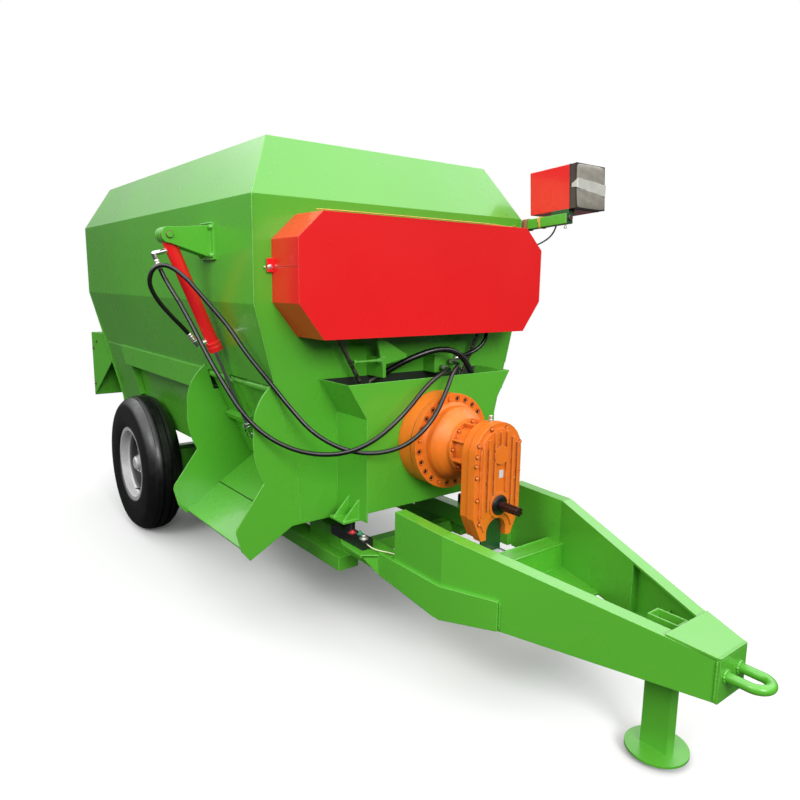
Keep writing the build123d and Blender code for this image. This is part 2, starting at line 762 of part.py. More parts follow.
def shaft_seal():
    ring = disc_y(0, INPUT_Z, SEAL_FRONT, CASE_FRONT - 12, 42)
    return ring - disc_y(0, INPUT_Z, SEAL_FRONT - 1, CASE_FRONT, INPUT_RADIUS + SHAFT_GAP)


def input_shaft():
    """Six-splined stub for the tractor's shaft."""
    shaft = disc_y(0, INPUT_Z, INPUT_TIP, -530, INPUT_RADIUS)
    for step in range(6):
        angle = radians(60 * step)
        x, z = cos(angle) * INPUT_RADIUS, INPUT_Z + sin(angle) * INPUT_RADIUS
        shaft -= disc_y(x, z, INPUT_TIP - 1, -640, 4)
    return shaft


def gearbox_stay():
    """Bent plate from the case's arch to the cross-member."""
    half, low = ARCH_RADIUS - 0.3, CROSS_Z[1] - 8
    rear = CASE_FRONT + 33
    upright = block((-half, half), (rear - 8, rear), (low, ARCH_Z))
    upright += disc_y(0, ARCH_Z, rear - 8, rear, half)
    return upright + block((-half, half), (CROSS_Y[1], rear), (low, CROSS_Z[1]))


# Augers
def facet(*points):
    """Flat face through its corners."""
    return Face(Wire.make_polygon(points))


def flight(radius, core, pitch, start, end, hand):
    """Screw blade pressed from flat facets; hand is 1 or -1, the way it winds along +Y."""
    steps = ceil((end - start) / pitch * FLIGHT_STEPS)
    rows = []
    for step in range(steps + 1):
        y = start + (end - start) * step / steps
        angle = hand * 2 * pi * (y - start) / pitch
        corners = ((core, 0), (radius, 0), (radius, FLIGHT), (core, FLIGHT))
        rows.append([(size * cos(angle), y + thick, size * sin(angle)) for size, thick in corners])
    faces = [facet(*rows[0]), facet(*rows[-1])]
    for near, far in zip(rows, rows[1:]):
        faces.append(facet(near[1], near[2], far[2], far[1]))
        faces.append(facet(near[3], near[0], far[0], far[3]))
        for i, j in ((0, 1), (2, 3)):
            faces.append(facet(near[i], near[j], far[j]))
            faces.append(facet(near[i], far[j], far[i]))
    blade = Solid(Shell(faces))
    return blade if blade.volume > 0 else -blade


def main_auger():
    """Shaft whose two opposed blades bring the feed to the chute."""
    radius = TROUGH_RADIUS - AUGER_GAP
    tube = disc_y(0, 0, SHEET + WALL_GAP, TUB_LENGTH - SHEET - WALL_GAP, TUBE_RADIUS)
    tube += disc_y(0, 0, -250, SHEET + WALL_GAP, MAIN_SHAFT)
    tube += disc_y(0, 0, TUB_LENGTH - SHEET - WALL_GAP, TUB_LENGTH + 50, MAIN_SHAFT)
    meeting = CHUTE_LENGTH
    tube += flight(radius, TUBE_RADIUS - 4, AUGER_PITCH, 60, meeting - 60, -1)
    tube += flight(radius, TUBE_RADIUS - 4, AUGER_PITCH, meeting + 60, TUB_LENGTH - 70, 1)
    tube += disc_y(0, 0, CHAIN_Y, CHAIN_Y + CHAIN_WIDTH, MAIN_SPROCKET)
    return Pos(0, 0, AUGER_Z) * tube


def upper_auger(x, hand):
    tube = disc_y(0, 0, SHEET + WALL_GAP, TUB_LENGTH - SHEET - WALL_GAP, UPPER_TUBE)
    tube += disc_y(0, 0, -100, TUB_LENGTH + 45, UPPER_SHAFT)
    tube += flight(UPPER_RADIUS, UPPER_TUBE - 4, UPPER_PITCH, 70, TUB_LENGTH - 80, hand)
    tube += disc_y(0, 0, CHAIN_Y, CHAIN_Y + CHAIN_WIDTH, UPPER_SPROCKET)
    return Pos(x, 0, UPPER_Z) * tube


def housing(x, z, start, end, radius, shaft):
    """Flanged bearing around a shaft."""
    ring = disc_y(x, z, start, end, radius)
    return ring - disc_y(x, z, start - 1, end + 1, shaft + SHAFT_GAP)


def front_bearings():
    rings = [housing(0, AUGER_Z, -45, 0, 105, MAIN_SHAFT)]
    return rings + [housing(x, UPPER_Z, -45, 0, 62, UPPER_SHAFT) for x in (-UPPER_X, UPPER_X)]


def rear_bearings():
    start, end = TUB_LENGTH, TUB_LENGTH + 45
    rings = [housing(0, AUGER_Z, start, end, 105, MAIN_SHAFT)]
    return rings + [housing(x, UPPER_Z, start, end, 62, UPPER_SHAFT) for x in (-UPPER_X, UPPER_X)]


def chain_outline(extra):
    """Loop round the three sprockets, as the hull of three circles."""
    circles = ((0, AUGER_Z, MAIN_SPROCKET), (-UPPER_X, UPPER_Z, UPPER_SPROCKET),
               (UPPER_X, UPPER_Z, UPPER_SPROCKET))
    edges = [edge for x, z, radius in circles
             for edge in (Pos(x, z) * Circle(radius + extra)).edges()]
    return make_hull(edges)


def drive_chain():
    start, end = CHAIN_Y, CHAIN_Y + CHAIN_WIDTH
    loop = along_y(chain_outline(SPROCKET_GAP + CHAIN_DEPTH), start, end)
    return loop - along_y(chain_outline(SPROCKET_GAP), start - 1, end + 1)


def chain_tensioner():
    """Bracket with a long adjusting bolt and a slipper arm."""
    bracket = block((-205, -190), (-118, 0), (1100, 1185))
    bolt = bar((-442, -105, 1172), (-205, -105, 1172), 7)
    head = bar((-456, -105, 1172), (-442, -105, 1172), 13)
    arm = flat([(-205, 1150), (-76, 1176), (-76, 1190), (-219, 1270), (-228, 1258)])
    return bracket + bolt + head + along_y(arm, -112, -98)


# Drawbar
def beam_plan():
    """Plan of the left beam, bent to the nose."""
    rear, bend, nose = BEAM_PLAN
    angle = atan2(bend[0] - nose[0], bend[1] - nose[1])
    side = BEAM_THICK / cos(angle)
    kink = BEAM_THICK * tan(angle / 2)
    return [rear, bend, nose, (nose[0] - side, nose[1]), (bend[0] - BEAM_THICK, bend[1] + kink),
            (rear[0] - BEAM_THICK, rear[1])]


def drawbar_beam():
    """Closed box at the rear, open channel towards the nose, for the left side."""
    side = flat(list(BEAM_TOP) + list(reversed(BEAM_LOW)))
    beam = along_z(flat(beam_plan()), 300, 700) & along_x(side, 0, 400)
    shift = Pos(-BEAM_WALL, 0, 0)
    pocket_plan = shift * along_z(flat(beam_plan()), 300, 700)
    hollow = flat([(y, z - BEAM_WALL) for y, z in BEAM_TOP]
                  + [(y, z + BEAM_WALL) for y, z in reversed(BEAM_LOW)])
    pocket = pocket_plan & along_x(hollow, 0, 400)
    return beam - (pocket & block((-100, 400), (NOSE_Y, BEAM_BOXED_TO), (300, 700)))


def drawbar_crossmember(beams):
    half = BEAM_PLAN[0][0] - BEAM_THICK
    member = block((-half, half), CROSS_Y, CROSS_Z)
    plate = block((-half, half), (PLATE_END, CROSS_Y[0]), PLATE_Z)
    return biggest(member + plate - beams)


def nose_plate():
    low, high = line_at(BEAM_LOW, NOSE_Y), line_at(BEAM_TOP, BEAM_PLAN[2][1])
    return block((-NOSE_HALF, NOSE_HALF), (NOSE_Y, BEAM_PLAN[2][1]), (low, high))


def nose_cover():
    """Top plate over the meeting beams."""
    thick, edge = 8, 2
    strip = [(y, line_at(BEAM_TOP, y)) for y in (COVER_REAR, BEAM_PLAN[2][1], NOSE_Y)]
    side = flat(strip + [(y, z + thick) for y, z in reversed(strip)])
    wide = line_at([(y, x) for x, y in BEAM_PLAN], COVER_REAR) - edge
    plan = flat(both_sides([(wide, COVER_REAR), (BEAM_PLAN[2][0], NOSE_Y)]))
    return along_x(side, -wide, wide) & along_z(plan, BEAM_LOW[2][1], BEAM_TOP[1][1])


def tow_eye():
    """Bent round bar."""
    root = NOSE_Y
    edges = [
        Line((-EYE_LOOP, root, EYE_Z), (-EYE_LOOP, EYE_Y, EYE_Z)),
        ThreePointArc((-EYE_LOOP, EYE_Y, EYE_Z), (0, EYE_Y - EYE_LOOP, EYE_Z),
                      (EYE_LOOP, EYE_Y, EYE_Z)),
        Line((EYE_LOOP, EYE_Y, EYE_Z), (EYE_LOOP, root, EYE_Z)),
    ]
    section = Plane(origin=(-EYE_LOOP, root, EYE_Z), z_dir=(0, -1, 0)) * Circle(EYE_BAR)
    return sweep(section, path=Wire(edges))


def jack_sleeve(beams):
    """Open tube with two cross plates welded into the beams' channels."""
    wide, deep = SLEEVE
    place = Pos(JACK_X, JACK_Y, 0)
    tube = place * along_z(Rectangle(wide, deep), *SLEEVE_Z)
    inner = Rectangle(wide - 2 * SLEEVE_WALL, deep - 2 * SLEEVE_WALL)
    tube -= place * along_z(inner, SLEEVE_Z[0] - 1, SLEEVE_Z[1] + 1)
    reach = line_at([(y, x) for x, y in BEAM_PLAN], JACK_Y) - 8
    for y in (JACK_Y - deep / 2 - CROSS_PLATE, JACK_Y + deep / 2):
        tube += block((-reach, reach), (y, y + CROSS_PLATE), CROSS_PLATE_Z)
    return biggest(tube - beams)


def jack_leg():
    wide, deep = [size - 2 * SLEEVE_WALL - 2 * LEG_GAP for size in SLEEVE]
    leg = along_z(Rectangle(wide, deep), FOOT_Z, LEG_TOP)
    leg += along_z(Circle(FOOT_RADIUS), FOOT_Z, FOOT_Z + FOOT_THICK)
    leg += along_z(Rectangle(2 * STUB_HALF[0], 2 * STUB_HALF[1]), 0, FOOT_Z)
    return Pos(JACK_X, JACK_Y, 0) * leg


# Chassis
def chassis_rails():
    """Tapered rail beside the beam, its shelf and the long low box, for the left side."""
    end = (line_at([(y, x) for x, y in BEAM_PLAN], RAIL_END), RAIL_END)
    rear, bend = BEAM_PLAN[0], BEAM_PLAN[1]
    start, knee = RAIL_PLAN
    plan = [(bend[0], start[1]), start, knee, end, bend]
    rail = along_z(flat(plan), RAIL_LOW, SHELF_TOP)
    rail -= along_x(flat([(start[1] + 1, SHELF_TOP - SHELF_THICK), (start[1] + 1, 0),
                          (start[1] - RAIL_CHAMFER, 0), (start[1] - RAIL_CHAMFER, RAIL_LOW)]),
                    0, start[0] + 1)
    shelf_plan = [(rear[0], start[1]), (start[0], start[1]), (start[0] - 10, -130),
                  (SHELF_OUTER, 0), (SHELF_OUTER, SHELF_END), (SHELF_X, SHELF_END),
                  (SHELF_X, rear[1]), rear]
    shelf = along_z(flat(shelf_plan), SHELF_TOP - SHELF_THICK, SHELF_TOP)
    web = block((SHELF_X, SHELF_OUTER), (rear[1], SHELF_END), (LOW_RAIL_Z[1], SHELF_TOP))
    low = block(LOW_RAIL_X, LOW_RAIL_Y, LOW_RAIL_Z)
    post_y = (REAR_CELL_Y[0], REAR_CELL_Y[0] + POST_LENGTH)
    post = block(CELL_X, post_y, (LOW_RAIL_Z[1], SHELF_TOP))
    return rail + shelf + web + low + post


def cross_tube(y):
    """Square tube between the long low boxes."""
    return block((-LOW_RAIL_X[0], LOW_RAIL_X[0]), (y, y + 60), LOW_RAIL_Z)


def load_cells():
    """Weighing bars, each with the round mount that carries its foot."""
    bars = []
    rear_middle = TUB_LENGTH + (FOOT_Y[1] - FOOT_Y[0]) / 2
    for cell_y, foot_middle in ((FRONT_CELL_Y, sum(FOOT_Y) / 2), (REAR_CELL_Y, rear_middle)):
        top = SHELF_TOP + CELL_HEIGHT
        cell = block(CELL_X, cell_y, (SHELF_TOP, top))
        puck = Pos(sum(CELL_X) / 2, foot_middle, 0) * along_z(Circle(PUCK_RADIUS), top,
                                                              top + PUCK_HEIGHT)
        bars += [cell + puck, left_of(cell + puck)]
    return bars


def tub_feet():
    """Gusseted feet: two beside the front guard and two on the rear wall."""
    low = SHELF_TOP + CELL_HEIGHT + PUCK_HEIGHT
    high = low + FOOT_PLATE
    inner = CELL_X[0] - 8
    front = block((GUARD_HALF, FOOT_OUTER), FOOT_Y, (low, high))
    front += block((inner, GUARD_HALF), FOOT_Y, (low, GUARD_SIDE_LOW))
    gusset = flat([(GUARD_HALF, high), (FOOT_OUTER, high), (GUARD_HALF, high + FOOT_RISE)])
    for y in (FOOT_Y[0] + GUSSET / 2, FOOT_Y[1] - 4 * GUSSET):
        front += along_y(gusset, y, y + GUSSET)
    start, reach = TUB_LENGTH, FOOT_Y[1] - FOOT_Y[0]
    rear = block((inner, FOOT_OUTER), (start, start + reach), (low, high))
    plate = flat([(start, high), (start + reach, high), (start, high + FOOT_RISE + 30)])
    for x in (inner + GUSSET / 2, FOOT_OUTER - 2 * GUSSET):
        rear += along_x(plate, x, x + GUSSET)
    return [front, left_of(front), rear, left_of(rear)]


def axle_beam():
    y = (AXLE_Y - AXLE_WIDTH / 2, AXLE_Y + AXLE_WIDTH / 2)
    beam = block((-AXLE_BEAM_HALF, AXLE_BEAM_HALF), y, (LOW_RAIL_Z[1], AXLE_TOP))
    end = WHEEL_X - 10
    return beam + bar((-end, AXLE_Y, WHEEL_RADIUS), (end, AXLE_Y, WHEEL_RADIUS), STUB_RADIUS)


# Wheels, turned about X and placed on the left stub
def placed(solid):
    return Pos(WHEEL_X, AXLE_Y, WHEEL_RADIUS) * solid


def turned(edges):
    """Solid of revolution about X from a closed profile of (along, radius)."""
    return revolve(make_face(Wire(edges)), axis=Axis.X)


def polyline_edges(points):
    return [Line(a, b) for a, b in zip(points, points[1:])]


def tyre():
    """Ribbed carcass, solid between its beads."""
    bead, shoulder = RIM_HALF - 6, (TYRE_HALF - 20, WHEEL_RADIUS - 30)
    foot, rise = BEAD_RADIUS + 0.2, FLANGE_RADIUS + 2
    tread = WHEEL_RADIUS
    groove, depth = (16, 27), 12
    half = [shoulder, (62, tread - 9), (groove[1], tread - 1), (groove[1] - 3, tread - depth),
            (groove[0] + 3, tread - depth), (groove[0], tread)]
    crown = half + [(-x, r) for x, r in reversed(half)]
    edges = [ThreePointArc((bead, rise), (TYRE_HALF, 300), shoulder)]
    edges += polyline_edges(crown)
    edges += [ThreePointArc(crown[-1], (-TYRE_HALF, 300), (-bead, rise))]
    edges += polyline_edges([(-bead, rise), (-bead, foot), (bead, foot), (bead, rise)])
    return placed(turned(edges))


def rim():
    """Well-base rim, dished disc with hand holes, hub and domed cap."""
    wall, well, seat = 5, 172, BEAD_RADIUS
    outer = [(RIM_HALF, FLANGE_RADIUS), (RIM_HALF - 4, FLANGE_RADIUS), (RIM_HALF - 4, seat),
             (45, seat), (32, well), (-32, well), (-45, seat), (4 - RIM_HALF, seat),
             (4 - RIM_HALF, FLANGE_RADIUS), (-RIM_HALF, FLANGE_RADIUS)]
    inner = [(-RIM_HALF, seat - wall), (-42, seat - wall), (-29, well - wall),
             (29, well - wall), (42, seat - wall), (RIM_HALF, seat - wall)]
    barrel = turned(polyline_edges(outer + inner + outer[:1]))
    dish = [(-12, well - wall), (-20, well - wall), (12, 88), (12, HUB_RADIUS), (20, HUB_RADIUS),
            (20, 92), (-12, well - wall)]
    disc = turned(polyline_edges(dish))
    for step in range(HAND_HOLES):
        spin = Rot(X=360 * step / HAND_HOLES)
        disc -= spin * bar((-60, 0, 132), (60, 0, 132), 17)
    hub = [(-95, STUB_RADIUS + SHAFT_GAP), (-95, 52), (0, 52), (0, HUB_RADIUS), (34, HUB_RADIUS),
           (34, 42), (58, 40), (66, 30), (66, 0), (0, 0), (0, STUB_RADIUS + SHAFT_GAP),
           (-95, STUB_RADIUS + SHAFT_GAP)]
    return placed(barrel + disc + turned(polyline_edges(hub)))


# Display
def display_arm():
    base = block((BELT_HALF, BELT_HALF + ARM_BASE), *ARM_PLATE)
    start = BELT_HALF + ARM_BASE
    arm_z = (DISPLAY_Z[0] - ARM_HEIGHT, DISPLAY_Z[0])
    return base + block((start, start + ARM_WIDTH), (DISPLAY_Y[0] + 10, 100), arm_z)


def display_box():
    """Housing with a recessed face."""
    case = fillet(block(DISPLAY_X, DISPLAY_Y, DISPLAY_Z).edges().filter_by(Axis.Y), 10)
    rim_width = 12
    window = [(low + rim_width, high - rim_width) for low, high in (DISPLAY_X, DISPLAY_Z)]
    return case - block(window[0], (DISPLAY_Y[0] - 1, DISPLAY_Y[0] + 6), window[1])


# Hoses
def corner_radii(points):
    """Arc at each point: 0.45 of the shorter run over the tangent of half the turn."""
    radii = []
    for a, b, c in zip(points, points[1:], points[2:]):
        before, after = Vector(*b) - Vector(*a), Vector(*c) - Vector(*b)
        half_turn = radians(before.get_angle(after) / 2)
        radii.append(0.45 * min(before.length, after.length) / tan(half_turn))
    return radii


def hose(name, points, radius):
    """Round tube along straight runs and tangent arcs."""
    radii = corner_radii(points)
    path = FilletPolyline(*points, radius=radii)
    first = Vector(*points[1]) - Vector(*points[0])
    tube = sweep(Plane(origin=points[0], z_dir=first) * Circle(radius), path=path)
    share = tube.volume / (pi * radius**2 * path.length)
    print(f"{name}: length {path.length:.0f}, volume share {share:.4f}, radii",
          " ".join(f"{size:.0f}" for size in radii))
    return tube


def hose_manifold():
    """Valve block on the front wall, where the hoses end."""
    return block((110, 220), (-80, 0), (1096, 1176))


def nipple(route, radius, body):
    """Fitting that carries a route's last run on to a body's face."""
    end = Vector(*route[-1])
    along = (end - Vector(*route[-2])).normalized()
    reach = bar(route[-1], tuple(end + along * NIPPLE_REACH), radius + 3) - body
    return min(reach.solids(), key=lambda solid: (solid.center() - end).length)


def hose_fittings():
    """Screwed ends at the manifold and glands at the wall and the guard."""
    body = hose_manifold()
    fittings = [nipple(route, HOSE_RADIUS, body)
                for route in (UPPER_RUN, LOWER_RUN, SUPPLY_RUN)]
    wall = block((-BELT_HALF, BELT_HALF), (0, PAST), (0, TUB_TOP))
    guard = block((-BELT_HALF, BELT_HALF), (-GUARD_DEPTH - PAST, GUARD_SHEET - GUARD_DEPTH),
                  (0, TUB_TOP))
    fittings.append(nipple(LOOM_RUN[::-1], LOOM_RADIUS, wall))
    fittings.append(nipple(LOOM_RUN, LOOM_RADIUS, guard))
    fittings.append(nipple(SUPPLY_RUN[::-1], HOSE_RADIUS, wall))
    case = block(DISPLAY_X, DISPLAY_Y, DISPLAY_Z)
    cell = block((-CELL_X[1], -CELL_X[0]), FRONT_CELL_Y, (SHELF_TOP, SHELF_TOP + CELL_HEIGHT))
    beam_end = block((-BEAM_PLAN[0][0], -SHELF_X), (BEAM_PLAN[0][1] - 50, BEAM_PLAN[0][1]),
                     (SHELF_TOP, 600))
    for route, radius, body in ((DISPLAY_CABLE[::-1], DISPLAY_CABLE_RADIUS, case),
                                (DISPLAY_CABLE, DISPLAY_CABLE_RADIUS, wall),
                                (CELL_CABLE[::-1], CELL_CABLE_RADIUS, cell),
                                (CELL_CABLE, CELL_CABLE_RADIUS, beam_end)):
        fittings.append(nipple(route, radius, body))
    return fittings


def pieces():
    """Every node by name."""
    beam = drawbar_beam()
    beams = left_of(beam) + beam
    rails = chassis_rails()
    wall = right_wall()
    return {
        "front_wall": front_wall(),
        "rear_wall": rear_wall(),
        "right_wall": wall,
        "left_wall": left_of(wall),
        "trough": trough(),
        "side_rails": [side_rail(CHUTE_LENGTH), left_of(side_rail(SHEET))],
        "skirts": [skirt(CHUTE_LENGTH), left_of(skirt(SHEET)), flank(), left_of(flank())],
        "chute_cheeks": chute_cheeks(),
        "chute_floor": chute_floor(),
        "door_hinge_bar": hinge_bar(),
        "discharge_door": discharge_door(),
        "cylinder_bracket": cylinder_bracket(),
        "cylinder_barrel": cylinder_barrel(),
        "cylinder_ports": cylinder_ports(),
        "cylinder_rod": cylinder_rod(),
        "transmission_guard": transmission_guard(),
        "chain_cover": chain_cover(),
        "rear_guard": rear_guard(),
        "planetary_gearbox": planetary_gearbox(),
        "drop_gearbox": drop_gearbox(),
        "shaft_seal": shaft_seal(),
        "input_shaft": input_shaft(),
        "gearbox_stay": gearbox_stay(),
        "main_auger": main_auger(),
        "right_upper_auger": upper_auger(-UPPER_X, 1),
        "left_upper_auger": upper_auger(UPPER_X, -1),
        "front_bearings": front_bearings(),
        "rear_bearings": rear_bearings(),
        "drive_chain": drive_chain(),
        "chain_tensioner": chain_tensioner(),
        "right_drawbar_beam": left_of(beam),
        "left_drawbar_beam": beam,
        "drawbar_crossmember": drawbar_crossmember(beams),
        "nose_plate": nose_plate(),
        "nose_cover": nose_cover(),
        "tow_eye": tow_eye(),
        "jack_sleeve": jack_sleeve(beams),
        "jack_leg": jack_leg(),
        "right_chassis_rail": left_of(rails),
        "left_chassis_rail": rails,
        "chassis_cross_tubes": [cross_tube(y) for y in CROSS_TUBE_Y],
        "load_cells": load_cells(),
        "tub_feet": tub_feet(),
        "axle_beam": axle_beam(),
        "right_tyre": left_of(tyre()),
        "left_tyre": tyre(),
        "right_rim": left_of(rim()),
        "left_rim": rim(),
        "display_arm": display_arm(),
        "display_box": display_box(),
        "hose_manifold": hose_manifold(),
        "hose_fittings": hose_fittings(),
        "upper_hose_lead": hose("upper_hose_lead", UPPER_LEAD, HOSE_RADIUS),
        "upper_hose_run": hose("upper_hose_run", UPPER_RUN, HOSE_RADIUS),
        "lower_hose_loop": hose("lower_hose_loop", LOWER_LOOP, HOSE_RADIUS),
        "lower_hose_run": hose("lower_hose_run", LOWER_RUN, HOSE_RADIUS),
        "wiring_loom": hose("wiring_loom", LOOM_RUN, LOOM_RADIUS),
        "supply_hose": hose("supply_hose", SUPPLY_RUN, HOSE_RADIUS),
        "display_cable": hose("display_cable", DISPLAY_CABLE, DISPLAY_CABLE_RADIUS),
        "cell_cable": hose("cell_cable", CELL_CABLE, CELL_CABLE_RADIUS),
    }


def main():
    os.makedirs("parts", exist_ok=True)
    to_eye = Pos(0, -EYE_Y, -EYE_Z)
    for name, shape in pieces().items():
        solids = shape if isinstance(shape, list) else [shape]
        parts = [part for solid in solids for part in solid.solids()]
        moved = [to_eye * part for part in parts]
        export_step(moved[0] if len(moved) == 1 else Compound(children=moved),
                    f"parts/{name}.step")


main()
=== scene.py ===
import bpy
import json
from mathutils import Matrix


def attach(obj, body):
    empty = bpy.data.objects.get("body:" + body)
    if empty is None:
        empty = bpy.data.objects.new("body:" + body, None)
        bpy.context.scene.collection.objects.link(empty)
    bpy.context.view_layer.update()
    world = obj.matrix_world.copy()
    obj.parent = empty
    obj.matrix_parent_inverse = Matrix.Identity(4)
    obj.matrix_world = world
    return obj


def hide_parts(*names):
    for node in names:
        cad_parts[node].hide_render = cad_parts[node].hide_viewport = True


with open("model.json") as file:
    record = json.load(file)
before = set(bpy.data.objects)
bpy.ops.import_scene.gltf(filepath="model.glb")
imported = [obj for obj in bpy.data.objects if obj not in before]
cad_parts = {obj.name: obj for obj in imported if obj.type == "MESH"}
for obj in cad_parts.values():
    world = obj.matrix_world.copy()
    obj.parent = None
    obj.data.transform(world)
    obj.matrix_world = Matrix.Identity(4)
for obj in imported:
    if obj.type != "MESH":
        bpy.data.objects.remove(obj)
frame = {"nodes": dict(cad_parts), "record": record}

"""Looks of the feed mixer wagon: finishes, fasteners, welds, tyres, hoses, studio."""
import json
import logging
import math
from dataclasses import dataclass
from enum import Enum
from typing import Optional, Sequence

import bmesh
import bpy
import numpy as np
from mathutils import Matrix, Vector

LOG = logging.getLogger("wagon")
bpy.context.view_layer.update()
EYE_Y, EYE_Z = -1605.0, 405.0
GROUND, MIDDLE_Y = -0.405, 2.0
Colour = tuple[float, float, float]
Point = tuple[float, float, float]
Socket = bpy.types.NodeSocket
FORWARD, BACK, UP = (0.0, -1.0, 0.0), (0.0, 1.0, 0.0), (0.0, 0.0, 1.0)


def row(points: Sequence[Point]) -> np.ndarray:
    """Workshop millimetres to frame metres: the tow eye's centre becomes zero.

    Args:
        points: One point or many, in millimetres from the front wall's foot.

    Returns:
        The same points in metres.
    """
    return (np.asarray(points, float) - (0.0, EYE_Y, EYE_Z)) / 1000.0


# Surfaces -------------------------------------------------------------------------------------
@dataclass
class Surface:
    """Points and faces of a piece, joined and repeated as whole arrays."""

    points: np.ndarray
    faces: list[tuple[int, ...]]

    def __add__(self, other: "Surface") -> "Surface":
        """Both surfaces as one.

        Args:
            other: The surface to be added.

        Returns:
            The joined surface.
        """
        shift = len(self.points)
        moved = [tuple(i + shift for i in face) for face in other.faces]
        return Surface(np.vstack([self.points, other.points]), self.faces + moved)

    def repeated(self, origins: np.ndarray, axes: Sequence[float],
                 spin: float = 0.0) -> "Surface":
        """Copies of a piece that stands on +Z, one at each origin along its axis.

        Each copy is turned by the frame (side, cross, axis), where side is square to the axis.

        Args:
            origins: Feet of the copies, in metres.
            axes: Direction of the copies, or one for each.
            spin: Turn about the axis, in radians.

        Returns:
            All copies as one surface.
        """
        origins = np.atleast_2d(origins)
        axes = np.broadcast_to(np.atleast_2d(axes), origins.shape).astype(float)
        axes = axes / np.linalg.norm(axes, axis=1, keepdims=True)
        helper = np.where(np.abs(axes[:, 2:3]) > 0.9, (1.0, 0.0, 0.0), (0.0, 0.0, 1.0))
        side = np.cross(helper, axes)
        side /= np.linalg.norm(side, axis=1, keepdims=True)
        cross = np.cross(axes, side)
        turned = side * math.cos(spin) + cross * math.sin(spin)
        cross = np.cross(axes, turned)
        frames = np.stack([turned, cross, axes], axis=1)
        points = np.einsum("pk,nkx->npx", self.points, frames) + origins[:, None, :]
        count = len(self.points)
        faces = [tuple(i + n * count for i in face)
                 for n in range(len(origins)) for face in self.faces]
        return Surface(points.reshape(-1, 3), faces)


def nothing() -> Surface:
    """A surface to add others to."""
    return Surface(np.zeros((0, 3)), [])


def ring_surface(rings: np.ndarray, closed: bool = False) -> Surface:
    """Skin over a stack of rings, with its two ends capped unless the stack is a loop.

    Args:
        rings: Array of (ring, point, xyz).
        closed: True where the last ring meets the first.

    Returns:
        The closed skin.
    """
    count, size = rings.shape[:2]
    a = np.arange(count if closed else count - 1)[:, None] * size
    b = (a + size) % (count * size)
    i = np.arange(size)[None, :]
    j = (i + 1) % size
    quads = np.stack([a + i, a + j, b + j, b + i], axis=-1).reshape(-1, 4)
    faces = [tuple(quad) for quad in quads.tolist()]
    if not closed:
        faces.append(tuple(range(size))[::-1])
        faces.append(tuple(range((count - 1) * size, count * size)))
    return Surface(rings.reshape(-1, 3), faces)


def lathe(profile: Sequence[tuple[float, float]], origin: Sequence[float] = (0.0, 0.0, 0.0),
          axis: Sequence[float] = UP, steps: int = 32, closed: bool = False) -> Surface:
    """Profile turned about an axis: point = origin + axis * a + radius * (u cos t + v sin t).

    Args:
        profile: Pairs of distance along the axis and radius, in metres.
        origin: Where the axis starts.
        axis: Direction of the axis.
        steps: Facets round the axis.
        closed: True where the profile is a loop, as in a ring.

    Returns:
        The turned skin.
    """
    along, radius = np.asarray(profile, float).T
    w = np.asarray(axis, float) / np.linalg.norm(axis)
    u = np.cross((0.0, 0.0, 1.0) if abs(w[2]) < 0.9 else (1.0, 0.0, 0.0), w)
    u /= np.linalg.norm(u)
    v = np.cross(w, u)
    t = np.arange(steps) * 2 * math.pi / steps
    circle = np.cos(t)[:, None] * u + np.sin(t)[:, None] * v
    rings = (np.asarray(origin, float) + along[:, None, None] * w
             + radius[:, None, None] * circle[None])
    return ring_surface(rings, closed)


def sweep(path: np.ndarray, section: np.ndarray, scale: Optional[np.ndarray] = None,
          closed: bool = False, up: Sequence[float] = (0.0, 0.0, 1.0)) -> Surface:
    """Flat section carried along a path, square to it: point = path + s * side + t * over.

    Args:
        path: Points of the line, in metres.
        section: Pairs (side, over) of the section's outline.
        scale: Size of the section at each point.
        closed: True where the path is a loop.
        up: Direction that the section's over axis leans to.

    Returns:
        The swept skin.
    """
    if closed:
        tangent = np.roll(path, -1, axis=0) - np.roll(path, 1, axis=0)
    else:
        tangent = np.gradient(path, axis=0)
    tangent /= np.linalg.norm(tangent, axis=1, keepdims=True)
    side = np.cross(tangent, np.asarray(up, float))
    side /= np.linalg.norm(side, axis=1, keepdims=True)
    over = np.cross(side, tangent)
    size = np.ones(len(path)) if scale is None else scale
    rings = (path[:, None, :] + section[None, :, 0:1] * size[:, None, None] * side[:, None, :]
             + section[None, :, 1:2] * size[:, None, None] * over[:, None, :])
    return ring_surface(rings, closed)


def circle(radius: float, steps: int = 10) -> np.ndarray:
    """Outline of a round section."""
    t = np.arange(steps) * 2 * math.pi / steps
    return np.stack([radius * np.cos(t), radius * np.sin(t)], axis=1)


def cuboid(low: Sequence[float], high: Sequence[float]) -> Surface:
    """Upright block between two corners, for a Bevel modifier to round.

    Args:
        low: Its lowest corner.
        high: Its highest corner.

    Returns:
        The block.
    """
    x, y, z = (np.array([a, b]) for a, b in zip(low, high))
    corners = ((0, 0), (1, 0), (1, 1), (0, 1))
    points = np.array([(x[i], y[j], z[k]) for k in (0, 1) for i, j in corners])
    faces = [(3, 2, 1, 0), (4, 5, 6, 7), (0, 1, 5, 4), (1, 2, 6, 5), (2, 3, 7, 6), (3, 0, 4, 7)]
    return Surface(points, faces)


def block(low: Point, high: Point) -> Surface:
    """Upright block between two corners in workshop millimetres."""
    return cuboid(row(low), row(high))


def ring_places(centre: Point, radius: float, angles: np.ndarray, across: int = 0) -> np.ndarray:
    """Points round an upright circle.

    Args:
        centre: Its middle, in workshop millimetres.
        radius: Its radius.
        angles: Where the points stand, in radians.
        across: The level axis that it spans, 0 for X and 1 for Y.

    Returns:
        The points, in workshop millimetres.
    """
    places = np.tile(np.asarray(centre, float), (len(angles), 1))
    places[:, across] += radius * np.cos(angles)
    places[:, 2] += radius * np.sin(angles)
    return places


